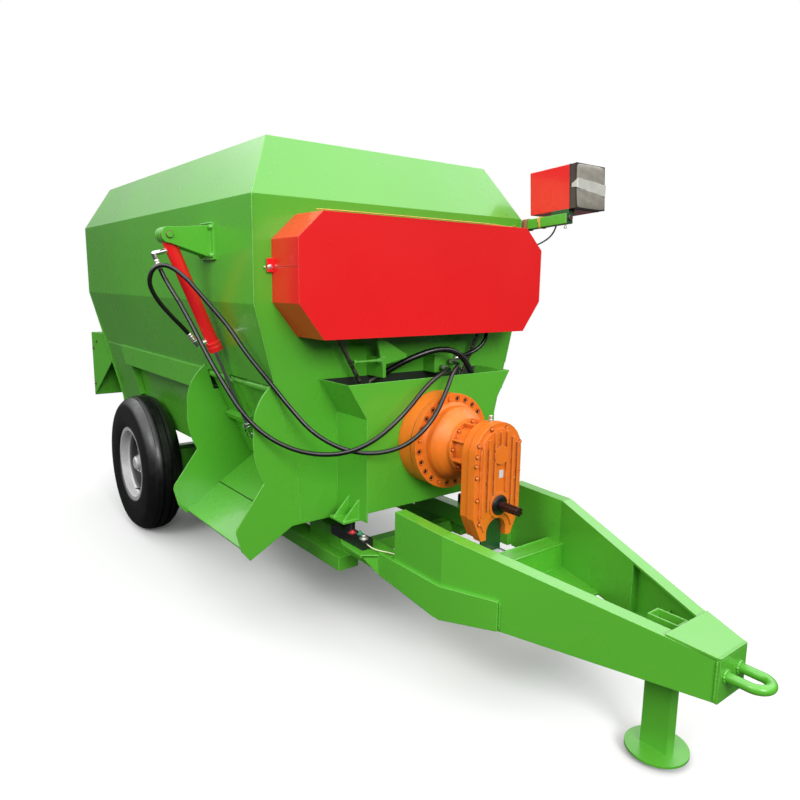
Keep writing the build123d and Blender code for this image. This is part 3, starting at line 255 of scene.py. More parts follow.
def weld_bead(start: Sequence[float], end: Sequence[float], radius: float = 0.0035) -> Surface:
    """Run of weld: a round section whose size ripples as 1 + 0.16 sin(2 pi s / pitch).

    Args:
        start: Where the run starts, in metres.
        end: Where it ends.
        radius: Middle size of the bead.

    Returns:
        The bead.
    """
    start, end = np.asarray(start, float), np.asarray(end, float)
    length = float(np.linalg.norm(end - start))
    count = max(5, int(length / (radius * 0.9)))
    s = np.linspace(0.0, length, count)
    path = start + (end - start) * (s / length)[:, None]
    fade = np.clip(np.minimum(s, length - s) / (2 * radius), 0.25, 1.0)
    wobble = 1 + 0.16 * np.sin(2 * math.pi * s / (radius * 3.4)) + 0.07 * np.sin(s * 41.0)
    up = (0.0, 0.0, 1.0) if abs((end - start)[2]) < 0.8 * length else (0.0, 1.0, 0.0)
    return sweep(path, circle(radius, 6), wobble * fade, up=up)


# Finishes -------------------------------------------------------------------------------------
class Wiring:
    """Nodes of one tree while they are being wired."""

    def __init__(self, tree: bpy.types.NodeTree, coordinates: str) -> None:
        """Clears the tree and takes its coordinates.

        Args:
            tree: The tree to be wired.
            coordinates: The texture coordinates that its patterns lie in.
        """
        self.tree = tree
        tree.nodes.clear()
        self.place = self.node("ShaderNodeTexCoord").outputs[coordinates]

    def node(self, kind: str, inputs: Optional[dict] = None, **options: object) -> bpy.types.Node:
        """New node with its options set and its inputs fed, by name or by number.

        Args:
            kind: Blender's name for the node's type.
            inputs: Values or sockets for its inputs.
            options: Values for its own settings.

        Returns:
            The node.
        """
        made = self.tree.nodes.new(kind)
        for name, value in options.items():
            setattr(made, name, value)
        for key, value in (inputs or {}).items():
            self.feed(made.inputs[key], value)
        return made

    def feed(self, target: Socket, value: object) -> None:
        """Links a socket or sets a constant, whichever the value is; a tuple is a colour.

        Args:
            target: The input that is fed.
            value: A socket, a number or a colour.
        """
        if isinstance(value, Socket):
            self.tree.links.new(value, target)
        else:
            target.default_value = (*value, 1.0) if isinstance(value, tuple) else value

    def noise(self, scale: float, detail: float = 4.0, roughness: float = 0.55) -> Socket:
        """Cloudy pattern from 0 to 1."""
        return self.node("ShaderNodeTexNoise", {
            "Vector": self.place, "Scale": scale, "Detail": detail,
            "Roughness": roughness}).outputs["Fac"]

    def fit(self, value: Socket, low: float, high: float,
            to_low: float = 0.0, to_high: float = 1.0) -> Socket:
        """Value stretched from one range to another and held there."""
        return self.node("ShaderNodeMapRange", {
            "Value": value, "From Min": low, "From Max": high, "To Min": to_low,
            "To Max": to_high}, interpolation_type="SMOOTHSTEP").outputs["Result"]

    def maths(self, operation: str, *values: object, clamp: bool = False) -> Socket:
        """One sum on up to three values."""
        return self.node("ShaderNodeMath", dict(enumerate(values)), operation=operation,
                         use_clamp=clamp).outputs[0]

    def blend(self, share: object, a: object, b: object) -> Socket:
        """Colour a turning to colour b as the share goes from 0 to 1."""
        return self.node("ShaderNodeMix", {"Factor": share, 6: a, 7: b},
                         data_type="RGBA").outputs[2]

    def axis(self, name: str) -> Socket:
        """One of the coordinates."""
        return self.node("ShaderNodeSeparateXYZ", {0: self.place}).outputs[name]

    def reach(self, names: str, centre: tuple[float, float]) -> Socket:
        """Distance from an axis that is square to two named coordinates and goes through centre."""
        offsets = [self.maths("SUBTRACT", self.axis(name), middle)
                   for name, middle in zip(names, centre)]
        return self.maths("SQRT", self.maths("ADD", *(self.maths("MULTIPLY", o, o)
                                                      for o in offsets)))


class Recipe(Wiring):
    """A material while it is being wired."""

    def __init__(self, name: str) -> None:
        """Starts a material with one shader.

        Args:
            name: The material's name.
        """
        self.material = bpy.data.materials.new(name)
        self.material.use_nodes = True
        super().__init__(self.material.node_tree, "Object")
        self.shader = self.node("ShaderNodeBsdfPrincipled")
        self.out = self.node("ShaderNodeOutputMaterial", {"Surface": self.shader.outputs["BSDF"]})

    def rounded(self, radius: float) -> Socket:
        """Normal that is rounded over edges."""
        return self.node("ShaderNodeBevel", {"Radius": radius}, samples=4).outputs["Normal"]

    def edge(self, radius: float) -> Socket:
        """How near a sharp outer or inner edge is, from 0 to 1.

        Args:
            radius: How far from the edge it looks, in metres.

        Returns:
            The share's socket.
        """
        flat = self.node("ShaderNodeNewGeometry").outputs["Normal"]
        dot = self.node("ShaderNodeVectorMath", {0: self.rounded(radius), 1: flat},
                        operation="DOT_PRODUCT")
        return self.fit(dot.outputs["Value"], 0.995, 0.85)

    def bump(self, height: Socket, strength: float, distance: float,
             rounding: float = 0.0) -> None:
        """Relief on the shader, over edges that are rounded where rounding isn't zero.

        Args:
            height: Pattern of the relief.
            strength: Share of it that shows.
            distance: Its depth, in metres.
            rounding: Radius of the rounded edges, in metres.
        """
        made = self.node("ShaderNodeBump", {"Strength": strength, "Distance": distance,
                                            "Height": height})
        if rounding:
            self.feed(made.inputs["Normal"], self.rounded(rounding))
        self.values(Normal=made.outputs["Normal"])

    def values(self, **numbers: object) -> None:
        """Sets or links the shader's own sockets; underscores stand for spaces."""
        for name, value in numbers.items():
            self.feed(self.shader.inputs[name.replace("_", " ")], value)


@dataclass(frozen=True)
class Finish:
    """A surface finish that is built once and shared."""

    name: str

    def wire(self, recipe: Recipe) -> None:
        """Wires the finish's own nodes."""
        raise NotImplementedError

    def material(self) -> bpy.types.Material:
        """The finish as a material, built at its first use.

        Returns:
            The material.
        """
        found = bpy.data.materials.get(self.name)
        if found:
            return found
        recipe = Recipe(self.name)
        self.wire(recipe)
        recipe.material.diffuse_color = (0.5, 0.5, 0.5, 1.0)
        return recipe.material


@dataclass(frozen=True)
class GlossPaint(Finish):
    """Sprayed enamel on sheet steel, with a painted highlight along its thin edges, dust and
    settled mud.
    """

    colour: Colour
    highlight_colour: Colour
    dust: float = 0.12

    def wire(self, recipe: Recipe) -> None:
        """Wires slow clouds of tone, mud low down, a painted highlight along the edges and a faint
        peel.

        Args:
            recipe: The material's nodes.
        """
        r = recipe
        cloud = r.fit(r.noise(0.9, 2.0), 0.3, 0.7)
        body = r.blend(cloud, tuple(c * 0.9 for c in self.colour), self.colour)
        low = r.fit(r.axis("Z"), 0.05, GROUND, 0.0, 1.0)
        settled = r.maths("MULTIPLY", low, r.fit(r.noise(13.0, 8.0, 0.7), 0.5, 0.78))
        settled = r.maths("MULTIPLY", settled, self.dust * 3.0)
        body = r.blend(settled, body, (0.16, 0.13, 0.085))
        # painted highlight: a lighter colour along sharp edges, broken up by noise
        painted_edge_highlight = r.maths("MULTIPLY", r.edge(0.004), r.fit(r.noise(26.0, 5.0), 0.3, 0.6, 0.3, 0.7))
        body = r.blend(painted_edge_highlight, body, self.highlight_colour)
        gloss = r.fit(r.noise(4.0, 3.0), 0.25, 0.75, 0.24, 0.34)
        r.values(Base_Color=body, Roughness=gloss, Coat_Weight=0.3, Coat_Roughness=0.1,
                 IOR=1.45)
        r.bump(r.noise(420.0, 2.0), 0.05, 0.0008, 0.0035)


@dataclass(frozen=True)
class CastPaint(Finish):
    """Thick paint on rough sand castings, with dirt and painted shade darkening the hollows."""

    colour: Colour

    def wire(self, recipe: Recipe) -> None:
        """Wires a grainy skin, hollows darkened as dirt and painted shade, and a painted highlight
        along the edges.

        Args:
            recipe: The material's nodes.
        """
        r = recipe
        cloud = r.fit(r.noise(11.0, 5.0), 0.3, 0.7)
        body = r.blend(cloud, tuple(c * 0.92 for c in self.colour), self.colour)
        # painted shade, also standing for dirt: hollows found by ambient occlusion turn dark brown
        hollow = r.node("ShaderNodeAmbientOcclusion", {"Distance": 0.03}, samples=6)
        dirt_and_shade = r.fit(hollow.outputs["AO"], 0.7, 0.25, 0.0, 0.7)
        body = r.blend(dirt_and_shade, body, (0.13, 0.035, 0.012))
        # painted highlight: a paler orange along sharp edges, broken up by noise
        cast_edge_highlight = r.maths("MULTIPLY", r.edge(0.004), r.fit(r.noise(40.0, 4.0), 0.35, 0.65))
        body = r.blend(r.maths("MULTIPLY", cast_edge_highlight, 0.6), body, (1.0, 0.48, 0.2))
        r.values(Base_Color=body, Roughness=r.fit(r.noise(25.0, 4.0), 0.3, 0.7, 0.34, 0.5))
        grain = r.maths("ADD", r.noise(330.0, 3.0), r.maths("MULTIPLY", r.noise(30.0, 3.0), 1.4))
        r.bump(grain, 0.32, 0.0012, 0.004)


@dataclass(frozen=True)
class Metal(Finish):
    """Bare, plated or rusting metal."""

    colour: Colour
    roughness: float = 0.35
    stain: Colour = (0.2, 0.12, 0.07)
    stained: float = 0.2
    metallic: float = 1.0

    def wire(self, recipe: Recipe) -> None:
        """Wires fine scratches and stains that grow with the stained share.

        Args:
            recipe: The material's nodes.
        """
        r = recipe
        stain = r.fit(r.noise(24.0, 6.0, 0.65), 0.72 - 0.45 * self.stained, 0.86, 0.0, 1.0)
        body = r.blend(stain, self.colour, self.stain)
        rough = r.fit(r.noise(60.0, 4.0), 0.3, 0.7, self.roughness * 0.75,
                      min(1.0, self.roughness * 1.3))
        r.values(Base_Color=body, Metallic=self.metallic, Roughness=rough)
        r.bump(r.noise(260.0, 3.0), 0.12, 0.0008, 0.0012)


@dataclass(frozen=True)
class Rubber(Finish):
    """Black rubber with a dusty bloom."""

    colour: Colour = (0.012, 0.012, 0.013)
    bloom: Colour = (0.12, 0.115, 0.1)
    dusty: float = 0.2
    roughness: float = 0.42
    grain: float = 500.0

    def wire(self, recipe: Recipe) -> None:
        """Wires a dark body, a pale bloom in patches and a fine grain.

        Args:
            recipe: The material's nodes.
        """
        r = recipe
        bloom = r.maths("MULTIPLY", r.fit(r.noise(14.0, 7.0, 0.7), 0.35, 0.8), self.dusty)
        r.values(Base_Color=r.blend(bloom, self.colour, self.bloom),
                 Roughness=r.fit(r.noise(30.0, 4.0), 0.3, 0.7, self.roughness * 0.85,
                                 self.roughness * 1.25))
        r.bump(r.noise(self.grain, 3.0), 0.15, 0.0006)


@dataclass(frozen=True)
class RimPaint(Finish):
    """Silver rim whose dish, between its edge and its cap, is darkened as painted shade."""

    bright: Colour = (0.66, 0.66, 0.66)
    dark: Colour = (0.085, 0.085, 0.085)
    axle: tuple[float, float] = (3.315, -0.0025)
    cap: float = 0.043
    dish: float = 0.184

    def wire(self, recipe: Recipe) -> None:
        """Wires silver that gives way to painted shade in the dish with the distance from the axle.

        Args:
            recipe: The material's nodes.
        """
        r = recipe
        reach = r.reach("YZ", self.axle)
        # painted shade: the dish between cap and edge turns dark
        inner = r.fit(reach, self.cap, self.cap + 0.012)
        inner = r.maths("MULTIPLY", inner, r.fit(reach, self.dish + 0.012, self.dish - 0.006))
        body = r.blend(inner, self.bright, self.dark)
        r.values(Base_Color=body, Metallic=0.35,
                 Roughness=r.fit(r.noise(60.0, 4.0), 0.3, 0.7, 0.27, 0.46))
        r.bump(r.noise(260.0, 3.0), 0.12, 0.0008, 0.0012)


@dataclass(frozen=True)
class AugerPaint(Finish):
    """Green blades whose rims the feed has scoured to bright steel."""

    paint: Colour
    centre: tuple[float, float]
    start: float
    end: float

    def wire(self, recipe: Recipe) -> None:
        """Wires paint that gives way to steel with the distance from the auger's axis.

        Args:
            recipe: The material's nodes.
        """
        r = recipe
        ragged = r.maths("MULTIPLY", r.noise(9.0, 7.0, 0.7), 0.07)
        torn = r.maths("ADD", r.reach("XZ", self.centre), ragged)
        bare = r.fit(torn, self.start + 0.02, self.end + 0.03)
        steel = r.blend(r.fit(r.noise(30.0, 5.0), 0.4, 0.75), (0.5, 0.48, 0.45),
                        (0.3, 0.2, 0.12))
        r.values(Base_Color=r.blend(bare, self.paint, steel),
                 Metallic=r.maths("MULTIPLY", bare, 0.85),
                 Roughness=r.fit(r.noise(20.0, 4.0), 0.3, 0.7, 0.3, 0.46))
        r.bump(r.noise(140.0, 4.0), 0.15, 0.001, 0.0015)


@dataclass(frozen=True)
class JackPaint(Finish):
    """Green leg with rust where it slides in its sleeve."""

    colour: Colour
    rust_from: float
    rust_to: float

    def wire(self, recipe: Recipe) -> None:
        """Wires paint, and rust above a ragged height.

        Args:
            recipe: The material's nodes.
        """
        r = recipe
        height = r.maths("ADD", r.axis("Z"), r.maths("MULTIPLY", r.noise(28.0, 7.0, 0.7), 0.012))
        rust = r.fit(height, self.rust_from, self.rust_to)
        brown = r.blend(r.noise(60.0, 6.0), (0.05, 0.014, 0.007), (0.15, 0.045, 0.018))
        body = r.blend(rust, r.blend(r.noise(4.0), tuple(c * 0.8 for c in self.colour),
                                     self.colour), brown)
        r.values(Base_Color=body, Roughness=r.fit(rust, 0.0, 1.0, 0.32, 0.8))
        r.bump(r.noise(160.0, 4.0), 0.2, 0.001, 0.002)


@dataclass(frozen=True)
class Film(Finish):
    """Soft plastic: wrapping film, tape, tags and wire covers."""

    colour: Colour
    roughness: float = 0.4

    def wire(self, recipe: Recipe) -> None:
        """Wires a creased, slightly uneven skin.

        Args:
            recipe: The material's nodes.
        """
        r = recipe
        body = r.blend(r.fit(r.noise(30.0, 4.0), 0.3, 0.75), self.colour,
                       tuple(c * 0.86 for c in self.colour))
        r.values(Base_Color=body, Roughness=self.roughness)
        r.bump(r.noise(70.0, 4.0), 0.3, 0.0015)


GREEN: Colour = (0.1, 0.45, 0.032)
GREEN_PAINT = GlossPaint("green_enamel", GREEN, (0.32, 0.8, 0.19))
RED_PAINT = GlossPaint("red_enamel", (0.85, 0.012, 0.014), (0.95, 0.16, 0.13), dust=0.04)
ORANGE_CAST = CastPaint("orange_casting_paint", (0.9, 0.2, 0.014))
ZINC = Metal("zinc_plate", (0.66, 0.65, 0.6), 0.33, (0.36, 0.3, 0.16), 0.25, 0.8)
DARK_STEEL = Metal("dark_steel", (0.11, 0.09, 0.08), 0.42, (0.12, 0.05, 0.03), 0.5)
CHROME = Metal("chromed_rod", (0.78, 0.79, 0.8), 0.1, (0.6, 0.6, 0.6), 0.0)
CHAIN_STEEL = Metal("oiled_chain", (0.2, 0.18, 0.16), 0.36, (0.09, 0.05, 0.03), 0.6)
SPLINE_STEEL = Metal("primed_spline", (0.034, 0.012, 0.01), 0.26, (0.012, 0.008, 0.008), 0.5,
                     0.35)
RUSTY_PIN = Metal("rusty_pin", (0.16, 0.05, 0.035), 0.6, (0.05, 0.02, 0.012), 0.6, 0.3)
DARK_HOLE = Metal("dark_socket", (0.006, 0.005, 0.005), 0.5, (0.03, 0.012, 0.008), 0.3, 0.2)
WHEEL_SILVER = Metal("wheel_silver", (0.6, 0.6, 0.6), 0.36, (0.36, 0.35, 0.33), 0.25, 0.35)
BLACK_PAINT = Metal("black_cell_paint", (0.012, 0.012, 0.013), 0.34, (0.06, 0.05, 0.04), 0.2,
                    0.1)
BLACK_RUBBER = Rubber("hose_rubber", (0.004, 0.004, 0.0045), dusty=0.03, roughness=0.3)
TYRE_RUBBER = Rubber("tyre_rubber", (0.003, 0.0034, 0.0034), (0.04, 0.04, 0.036), 0.05, 0.34,
                     320.0)
STAY_PAINT = GlossPaint("dark_stay_enamel", (0.014, 0.07, 0.018), (0.05, 0.2, 0.05))
LABEL = Film("blank_label", (0.72, 0.74, 0.78), 0.3)
GREY_FILM = Film("grey_wrap", (0.3, 0.28, 0.235), 0.32)
WHITE_TAPE = Film("clear_tape", (0.62, 0.62, 0.56), 0.24)
BEZEL = Film("brown_bezel", (0.075, 0.045, 0.045), 0.3)
GASKET = Film("black_gasket", (0.012, 0.008, 0.008), 0.35)
# painted shade: near-black film for the shadowed wall inside the chain guard
GUARD_SHADE_FILM = Film("painted_guard_shade", (0.012, 0.02, 0.01), 0.55)
YELLOW_TIE = Film("yellow_wire", (0.78, 0.5, 0.08), 0.4)
BROWN_TIE = Film("brown_wire", (0.22, 0.06, 0.02), 0.4)
PALE_TIE = Film("pale_wire", (0.75, 0.76, 0.5), 0.4)
RED_CAP = Film("red_cap", (0.55, 0.04, 0.05), 0.35)
GREEN_CAP = Film("green_cap", (0.05, 0.3, 0.16), 0.35)


class Slot(Enum):
    """The record's material slots, by what they cover."""

    GREEN = "green_paint"
    STEEL = "worn_steel"
    RED = "red_paint"
    ORANGE = "orange_casting"
    RUBBER = "black_rubber"
    CHAIN = "chain_steel"
    CELL = "black_steel"
    CHROME = "chrome"
    SHAFT = "shaft_steel"
    TYRE = "tyre"
    SILVER = "silver_paint"


SLOT_FINISH: dict[Slot, Finish] = {
    Slot.GREEN: GREEN_PAINT, Slot.STEEL: DARK_STEEL, Slot.RED: RED_PAINT,
    Slot.ORANGE: ORANGE_CAST, Slot.RUBBER: BLACK_RUBBER, Slot.CHAIN: CHAIN_STEEL,
    Slot.CELL: BLACK_PAINT, Slot.CHROME: CHROME, Slot.SHAFT: SPLINE_STEEL,
    Slot.TYRE: TYRE_RUBBER, Slot.SILVER: WHEEL_SILVER,
}
NODE_FINISH: dict[str, Finish] = {
    "main_auger": AugerPaint("main_auger_wear", GREEN, (0.0, 0.44), 0.16, 0.3),
    "left_upper_auger": AugerPaint("left_auger_wear", GREEN, (0.4, 1.095), 0.1, 0.19),
    "right_upper_auger": AugerPaint("right_auger_wear", GREEN, (-0.4, 1.095), 0.1, 0.19),
    "left_rim": RimPaint("left_rim_paint"),
    "right_rim": RimPaint("right_rim_paint"),
    "jack_leg": JackPaint("jack_paint", GREEN, -0.128, -0.114),
    "gearbox_stay": STAY_PAINT,
    "hose_manifold": GREEN_PAINT,
}


def put(name: str, surface: Surface, finish: Finish, body: str = "frame",
        replaces: Sequence[str] = (), smooth: float = 35.0,
        bevel: float = 0.0) -> None:
    """Makes a piece of a surface and hangs it on its body.

    Args:
        name: The piece's name.
        surface: Its points and faces, in frame metres.
        finish: What it is coated with.
        body: The body that it moves with.
        replaces: CAD nodes that it stands for.
        smooth: Angle below which its faces blend, in degrees.
        bevel: Width of rounded edges, in metres.
    """
    mesh = bpy.data.meshes.new(name)
    mesh.from_pydata(surface.points.tolist(), [], surface.faces)
    shaped = bmesh.new()
    shaped.from_mesh(mesh)
    bmesh.ops.recalc_face_normals(shaped, faces=shaped.faces)
    shaped.to_mesh(mesh)
    shaped.free()
    mesh.materials.append(finish.material())
    piece = bpy.data.objects.new(name, mesh)
    bpy.context.scene.collection.objects.link(piece)
    mesh.shade_smooth()
    mesh.set_sharp_from_angle(angle=math.radians(smooth))
    if bevel:
        rounded = piece.modifiers.new("rounded", "BEVEL")
        rounded.width, rounded.segments, rounded.limit_method = bevel, 2, "ANGLE"
        rounded.harden_normals = True
    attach(piece, body)
    if replaces:
        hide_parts(*replaces)
    LOG.info("%s: %d faces on %s", name, len(surface.faces), body)


# Fasteners ------------------------------------------------------------------------------------
class Head(Enum):
    """Kinds of screw head."""

    HEX = 6
    SOCKET = 16
    DOME = 14


@dataclass(frozen=True)
class Screw:
    """A screw head with its washer, standing on +Z."""

    size: float
    head: Head = Head.HEX
    washer: bool = True

    def surface(self) -> Surface:
        """Head turned from a stepped profile, as a prism of six sides or a round.

        Returns:
            The head, with its washer where it has one.
        """
        r, seat = self.size / 2, self.size * (0.12 if self.washer else 0.0)
        made = nothing()
        if self.washer:
            made = lathe([(-0.0005, r * 1.75), (seat * 0.8, r * 1.75), (seat, r * 1.6)], steps=18)
        if self.head is Head.DOME:
            profile = [(seat - 0.0005, r * 1.1), (seat + r * 0.35, r), (seat + r * 0.7, r * 0.72),
                       (seat + r * 0.85, r * 0.3)]
        else:
            tall = self.size * 0.62
            profile = [(seat - 0.0005, r * 1.02), (seat + tall * 0.82, r * 1.02),
                       (seat + tall, r * 0.86)]
        return made + lathe(profile, steps=self.head.value)

    def at(self, points: Sequence[Point], axis: Sequence[float], spin: float = 0.3) -> Surface:
        """Heads at points in workshop millimetres, all along one axis."""
        return self.surface().repeated(row(points), axis, spin)


# Cords ----------------------------------------------------------------------------------------
@dataclass(frozen=True)
class Hose:
    """A hose or cable: the route's points in workshop millimetres, and what it is."""

    name: str
    route: tuple[Point, ...]
    diameter: float
    length: float
    body: str = "frame"
    stiffness: str = "stiff"
    lay: str = "hanging"
    finish: Finish = BLACK_RUBBER
    in_cad: bool = True

    def build(self) -> None:
        """One open NURBS spline of order 3 through the route, with a round bevel."""
        curve = bpy.data.curves.new(self.name + "_tube", "CURVE")
        curve.dimensions = "3D"
        curve.resolution_u = 10
        curve.bevel_depth = self.diameter / 2
        curve.bevel_resolution = 4
        curve.use_fill_caps = True
        points = row(self.route)
        spline = curve.splines.new("NURBS")
        spline.points.add(len(points) - 1)
        spline.points.foreach_set("co", np.c_[points, np.ones(len(points))].ravel())
        spline.order_u = 3
        spline.use_endpoint_u = True
        curve.materials.append(self.finish.material())
        cord = bpy.data.objects.new(self.name + "_tube", curve)
        bpy.context.scene.collection.objects.link(cord)
        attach(cord, self.body)
        if self.in_cad:
            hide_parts(self.name)
        LOG.info("%s: %.2f m of %.0f mm", self.name, self.length, self.diameter * 1000)


@dataclass
class Plumbing:
    """The door cylinder's two hoses in two parts each, the supply hose, the loom, thin wires."""

    hoses: tuple[Hose, ...] = (
        Hose("upper_hose_lead", ((-941, 410, 1568), (-925, 404, 1518), (-905, 378, 1465),
                                 (-887.5, 327.5, 1406)), 0.018, 0.191, "cylinder_barrel"),
        Hose("upper_hose_run", (
            (-890, 336, 1417), (-856, 270, 1310), (-836, 190, 1205), (-810, 105, 1103),
            (-772, 10, 984), (-700, -62, 893), (-600, -150, 840), (-495, -255, 842),
            (-395, -322, 892), (-280, -362, 995), (-160, -345, 1092), (-37, -292, 1126),
            (58, -235, 1128), (118, -168, 1122), (138, -108, 1118)), 0.018, 1.808),
        Hose("lower_hose_loop", (
            (-797, 410, 1238), (-835, 410, 1285), (-893, 408, 1345), (-950, 404, 1412),
            (-983, 396, 1482), (-958, 376, 1548), (-893, 345, 1541), (-850, 292, 1479)),
            0.018, 0.529, "cylinder_barrel"),
        Hose("lower_hose_run", (
            (-858, 302, 1492), (-806, 240, 1405), (-752, 165, 1312), (-720, 88, 1215),
            (-672, 0, 1115), (-612, -70, 1005), (-548, -140, 905), (-452, -232, 842),
            (-345, -300, 834), (-245, -352, 870), (-150, -382, 960), (-62, -352, 1060),
            (30, -290, 1130), (108, -235, 1146), (160, -168, 1146), (184, -108, 1142)),
            0.018, 1.816),
        Hose("wiring_loom", ((-138, -22, 1100), (-92, -55, 1136), (-20, -98, 1177),
                             (68, -138, 1208), (148, -166, 1202), (214, -180, 1148),
                             (246, -190, 1074)), 0.026, 0.509),
        Hose("supply_hose", ((384, -42, 1328), (396, -98, 1300), (384, -128, 1245),
                             (340, -124, 1198), (290, -98, 1168), (246, -58, 1150)),
             0.018, 0.311),
        Hose("display_cable", ((815, -150, 1806), (815, -146, 1768), (800, -128, 1722),
                               (768, -96, 1690), (728, -84, 1676), (694, -70, 1655),
                               (678, -36, 1636)), 0.008, 0.27, stiffness="medium"),
        Hose("cell_cable", ((-372, -251, 453), (-371, -276, 447), (-353, -301, 440),
                            (-331, -326, 437), (-319, -358, 437), (-318, -397, 439)),
             0.005, 0.163, stiffness="medium", lay="loose", finish=PALE_TIE),
        Hose("cover_edge_wire", ((-562, -190, 1746), (-520, -206, 1746), (-300, -208, 1746),
                                 (-80, -208, 1746.5), (140, -208, 1746), (310, -206, 1746),
                                 (430, -150, 1749), (560, -80, 1756), (660, -14, 1768),
                                 (716, 22, 1780)), 0.004, 1.33, stiffness="medium", lay="loose",
             finish=YELLOW_TIE, in_cad=False),
    )

    def ferrules(self) -> None:
        """Crimped sleeves where the hoses meet their fittings, rippled along their length."""
        along = np.linspace(0.0, 0.04, 14)
        radius = 0.0118 + 0.0007 * np.cos(along * 2 * math.pi / 0.008)
        radius[[0, -1]] = 0.0095
        for name, index, first in (("upper_lead", 0, True), ("upper_run", 1, False),
                                   ("lower_loop", 2, True), ("lower_run", 3, False),
                                   ("supply", 5, False)):
            points = row(self.hoses[index].route)
            tip, inner = points[:2] if first else points[:-3:-1]
            put(name + "_ferrule", lathe(np.c_[along, radius], tip, inner - tip, 24), ZINC,
                "cylinder_barrel" if first else "frame")

    def build(self) -> None:
        """Lays every cord and crimps its ends."""
        for hose in self.hoses:
            hose.build()
        self.ferrules()


# Wheels ---------------------------------------------------------------------------------------
@dataclass
class Wheel:
    """A ribbed implement tyre on its rim, with nuts, hub screws and a valve."""

    side: str
    x: float
    axle_y: float = 1710.0
    radius: float = 402.5
    half_width: float = 103.0
    steps: int = 240

    def profile(self) -> np.ndarray:
        """Half-section of the tyre as (along, radius) in millimetres, bead to bead.

        The flank bulges as a sine between bead and shoulder and carries fine rings; the round
        crown has a broad middle rib between two grooves, and a fine line in each side rib.

        Returns:
            The outline.
        """
        t = np.linspace(0.0, 1.0, 24)
        flank_r = 226.0 + 126.0 * t
        swell = np.sin(math.pi * np.clip(t * 0.62 + 0.1, 0, 1)) ** 0.6
        flank_x = 80.0 + (self.half_width - 80.0) * swell
        flank_x += 0.6 * np.sin(t * 2 * math.pi * 6) * (t > 0.1) * (t < 0.7)
        flank = np.c_[np.minimum(flank_x, self.half_width), flank_r]
        crown = np.array([(95, 361), (89.5, 368), (83, 374.5), (75, 382), (66, 389), (58, 393.6),
                          (51, 396.4), (50, 393.5), (48.6, 393.8), (48, 397.6), (40, 399.8),
                          (33, 401.2), (27.5, 401.8), (26.5, 399.5), (25, 391), (18, 391),
                          (16.5, 399.6), (15.5, 402.2), (7.5, 402.5)])
        half = np.vstack([[(80, 205.4), (80, 216)], flank, crown])
        return np.vstack([half, half[::-1] * (-1, 1)])

    def tyre(self) -> Surface:
        """Profile turned about the axle; the middle rib's two grooves waver a little.

        Returns:
            The tyre's skin.
        """
        profile = self.profile()
        t = np.arange(self.steps) * 2 * math.pi / self.steps
        along = np.repeat(profile[:, :1], self.steps, axis=1)
        radius = np.repeat(profile[:, 1:], self.steps, axis=1)
        waver = 1.1 * (2 / math.pi) * np.arcsin(np.sin(t * 40))
        groove = (np.abs(along) < 30) & (np.abs(along) > 12)
        rings = np.stack([along + waver[None, :] * groove + self.x,
                          self.axle_y + radius * np.cos(t), self.radius + radius * np.sin(t)],
                         axis=-1)
        return ring_surface(row(rings), closed=True)

    def build(self) -> None:
        """Tyre, six wheel nuts, three hub screws and a valve."""
        out = math.copysign(1.0, self.x)
        body = f"{self.side}_wheel"
        put(f"{self.side}_tyre_skin", self.tyre(), TYRE_RUBBER, body,
            [f"{self.side}_tyre"], smooth=28.0)
        angles = np.arange(6) * math.pi / 3 + 0.2
        for name, screw, depth, radius, places in (
                ("wheel_nuts", Screw(0.019), 20.0, 78.0, angles),
                ("hub_screws", Screw(0.01, washer=False), 34.0, 52.0, angles[::2])):
            centre = (self.x + out * depth, self.axle_y, self.radius)
            put(f"{self.side}_{name}", screw.at(ring_places(centre, radius, places, 1),
                                                (out, 0, 0)), ZINC, body)
        t = np.linspace(0, 1, 9)
        path = row(np.c_[self.x + out * (20 + 48 * t), np.full(9, self.axle_y),
                         self.radius - 168 + 14 * t ** 2])
        valve = sweep(path, circle(0.0042, 10), np.r_[np.ones(6), 0.8, 0.8, 0.5])
        put(f"{self.side}_valve", valve, BLACK_RUBBER, body)


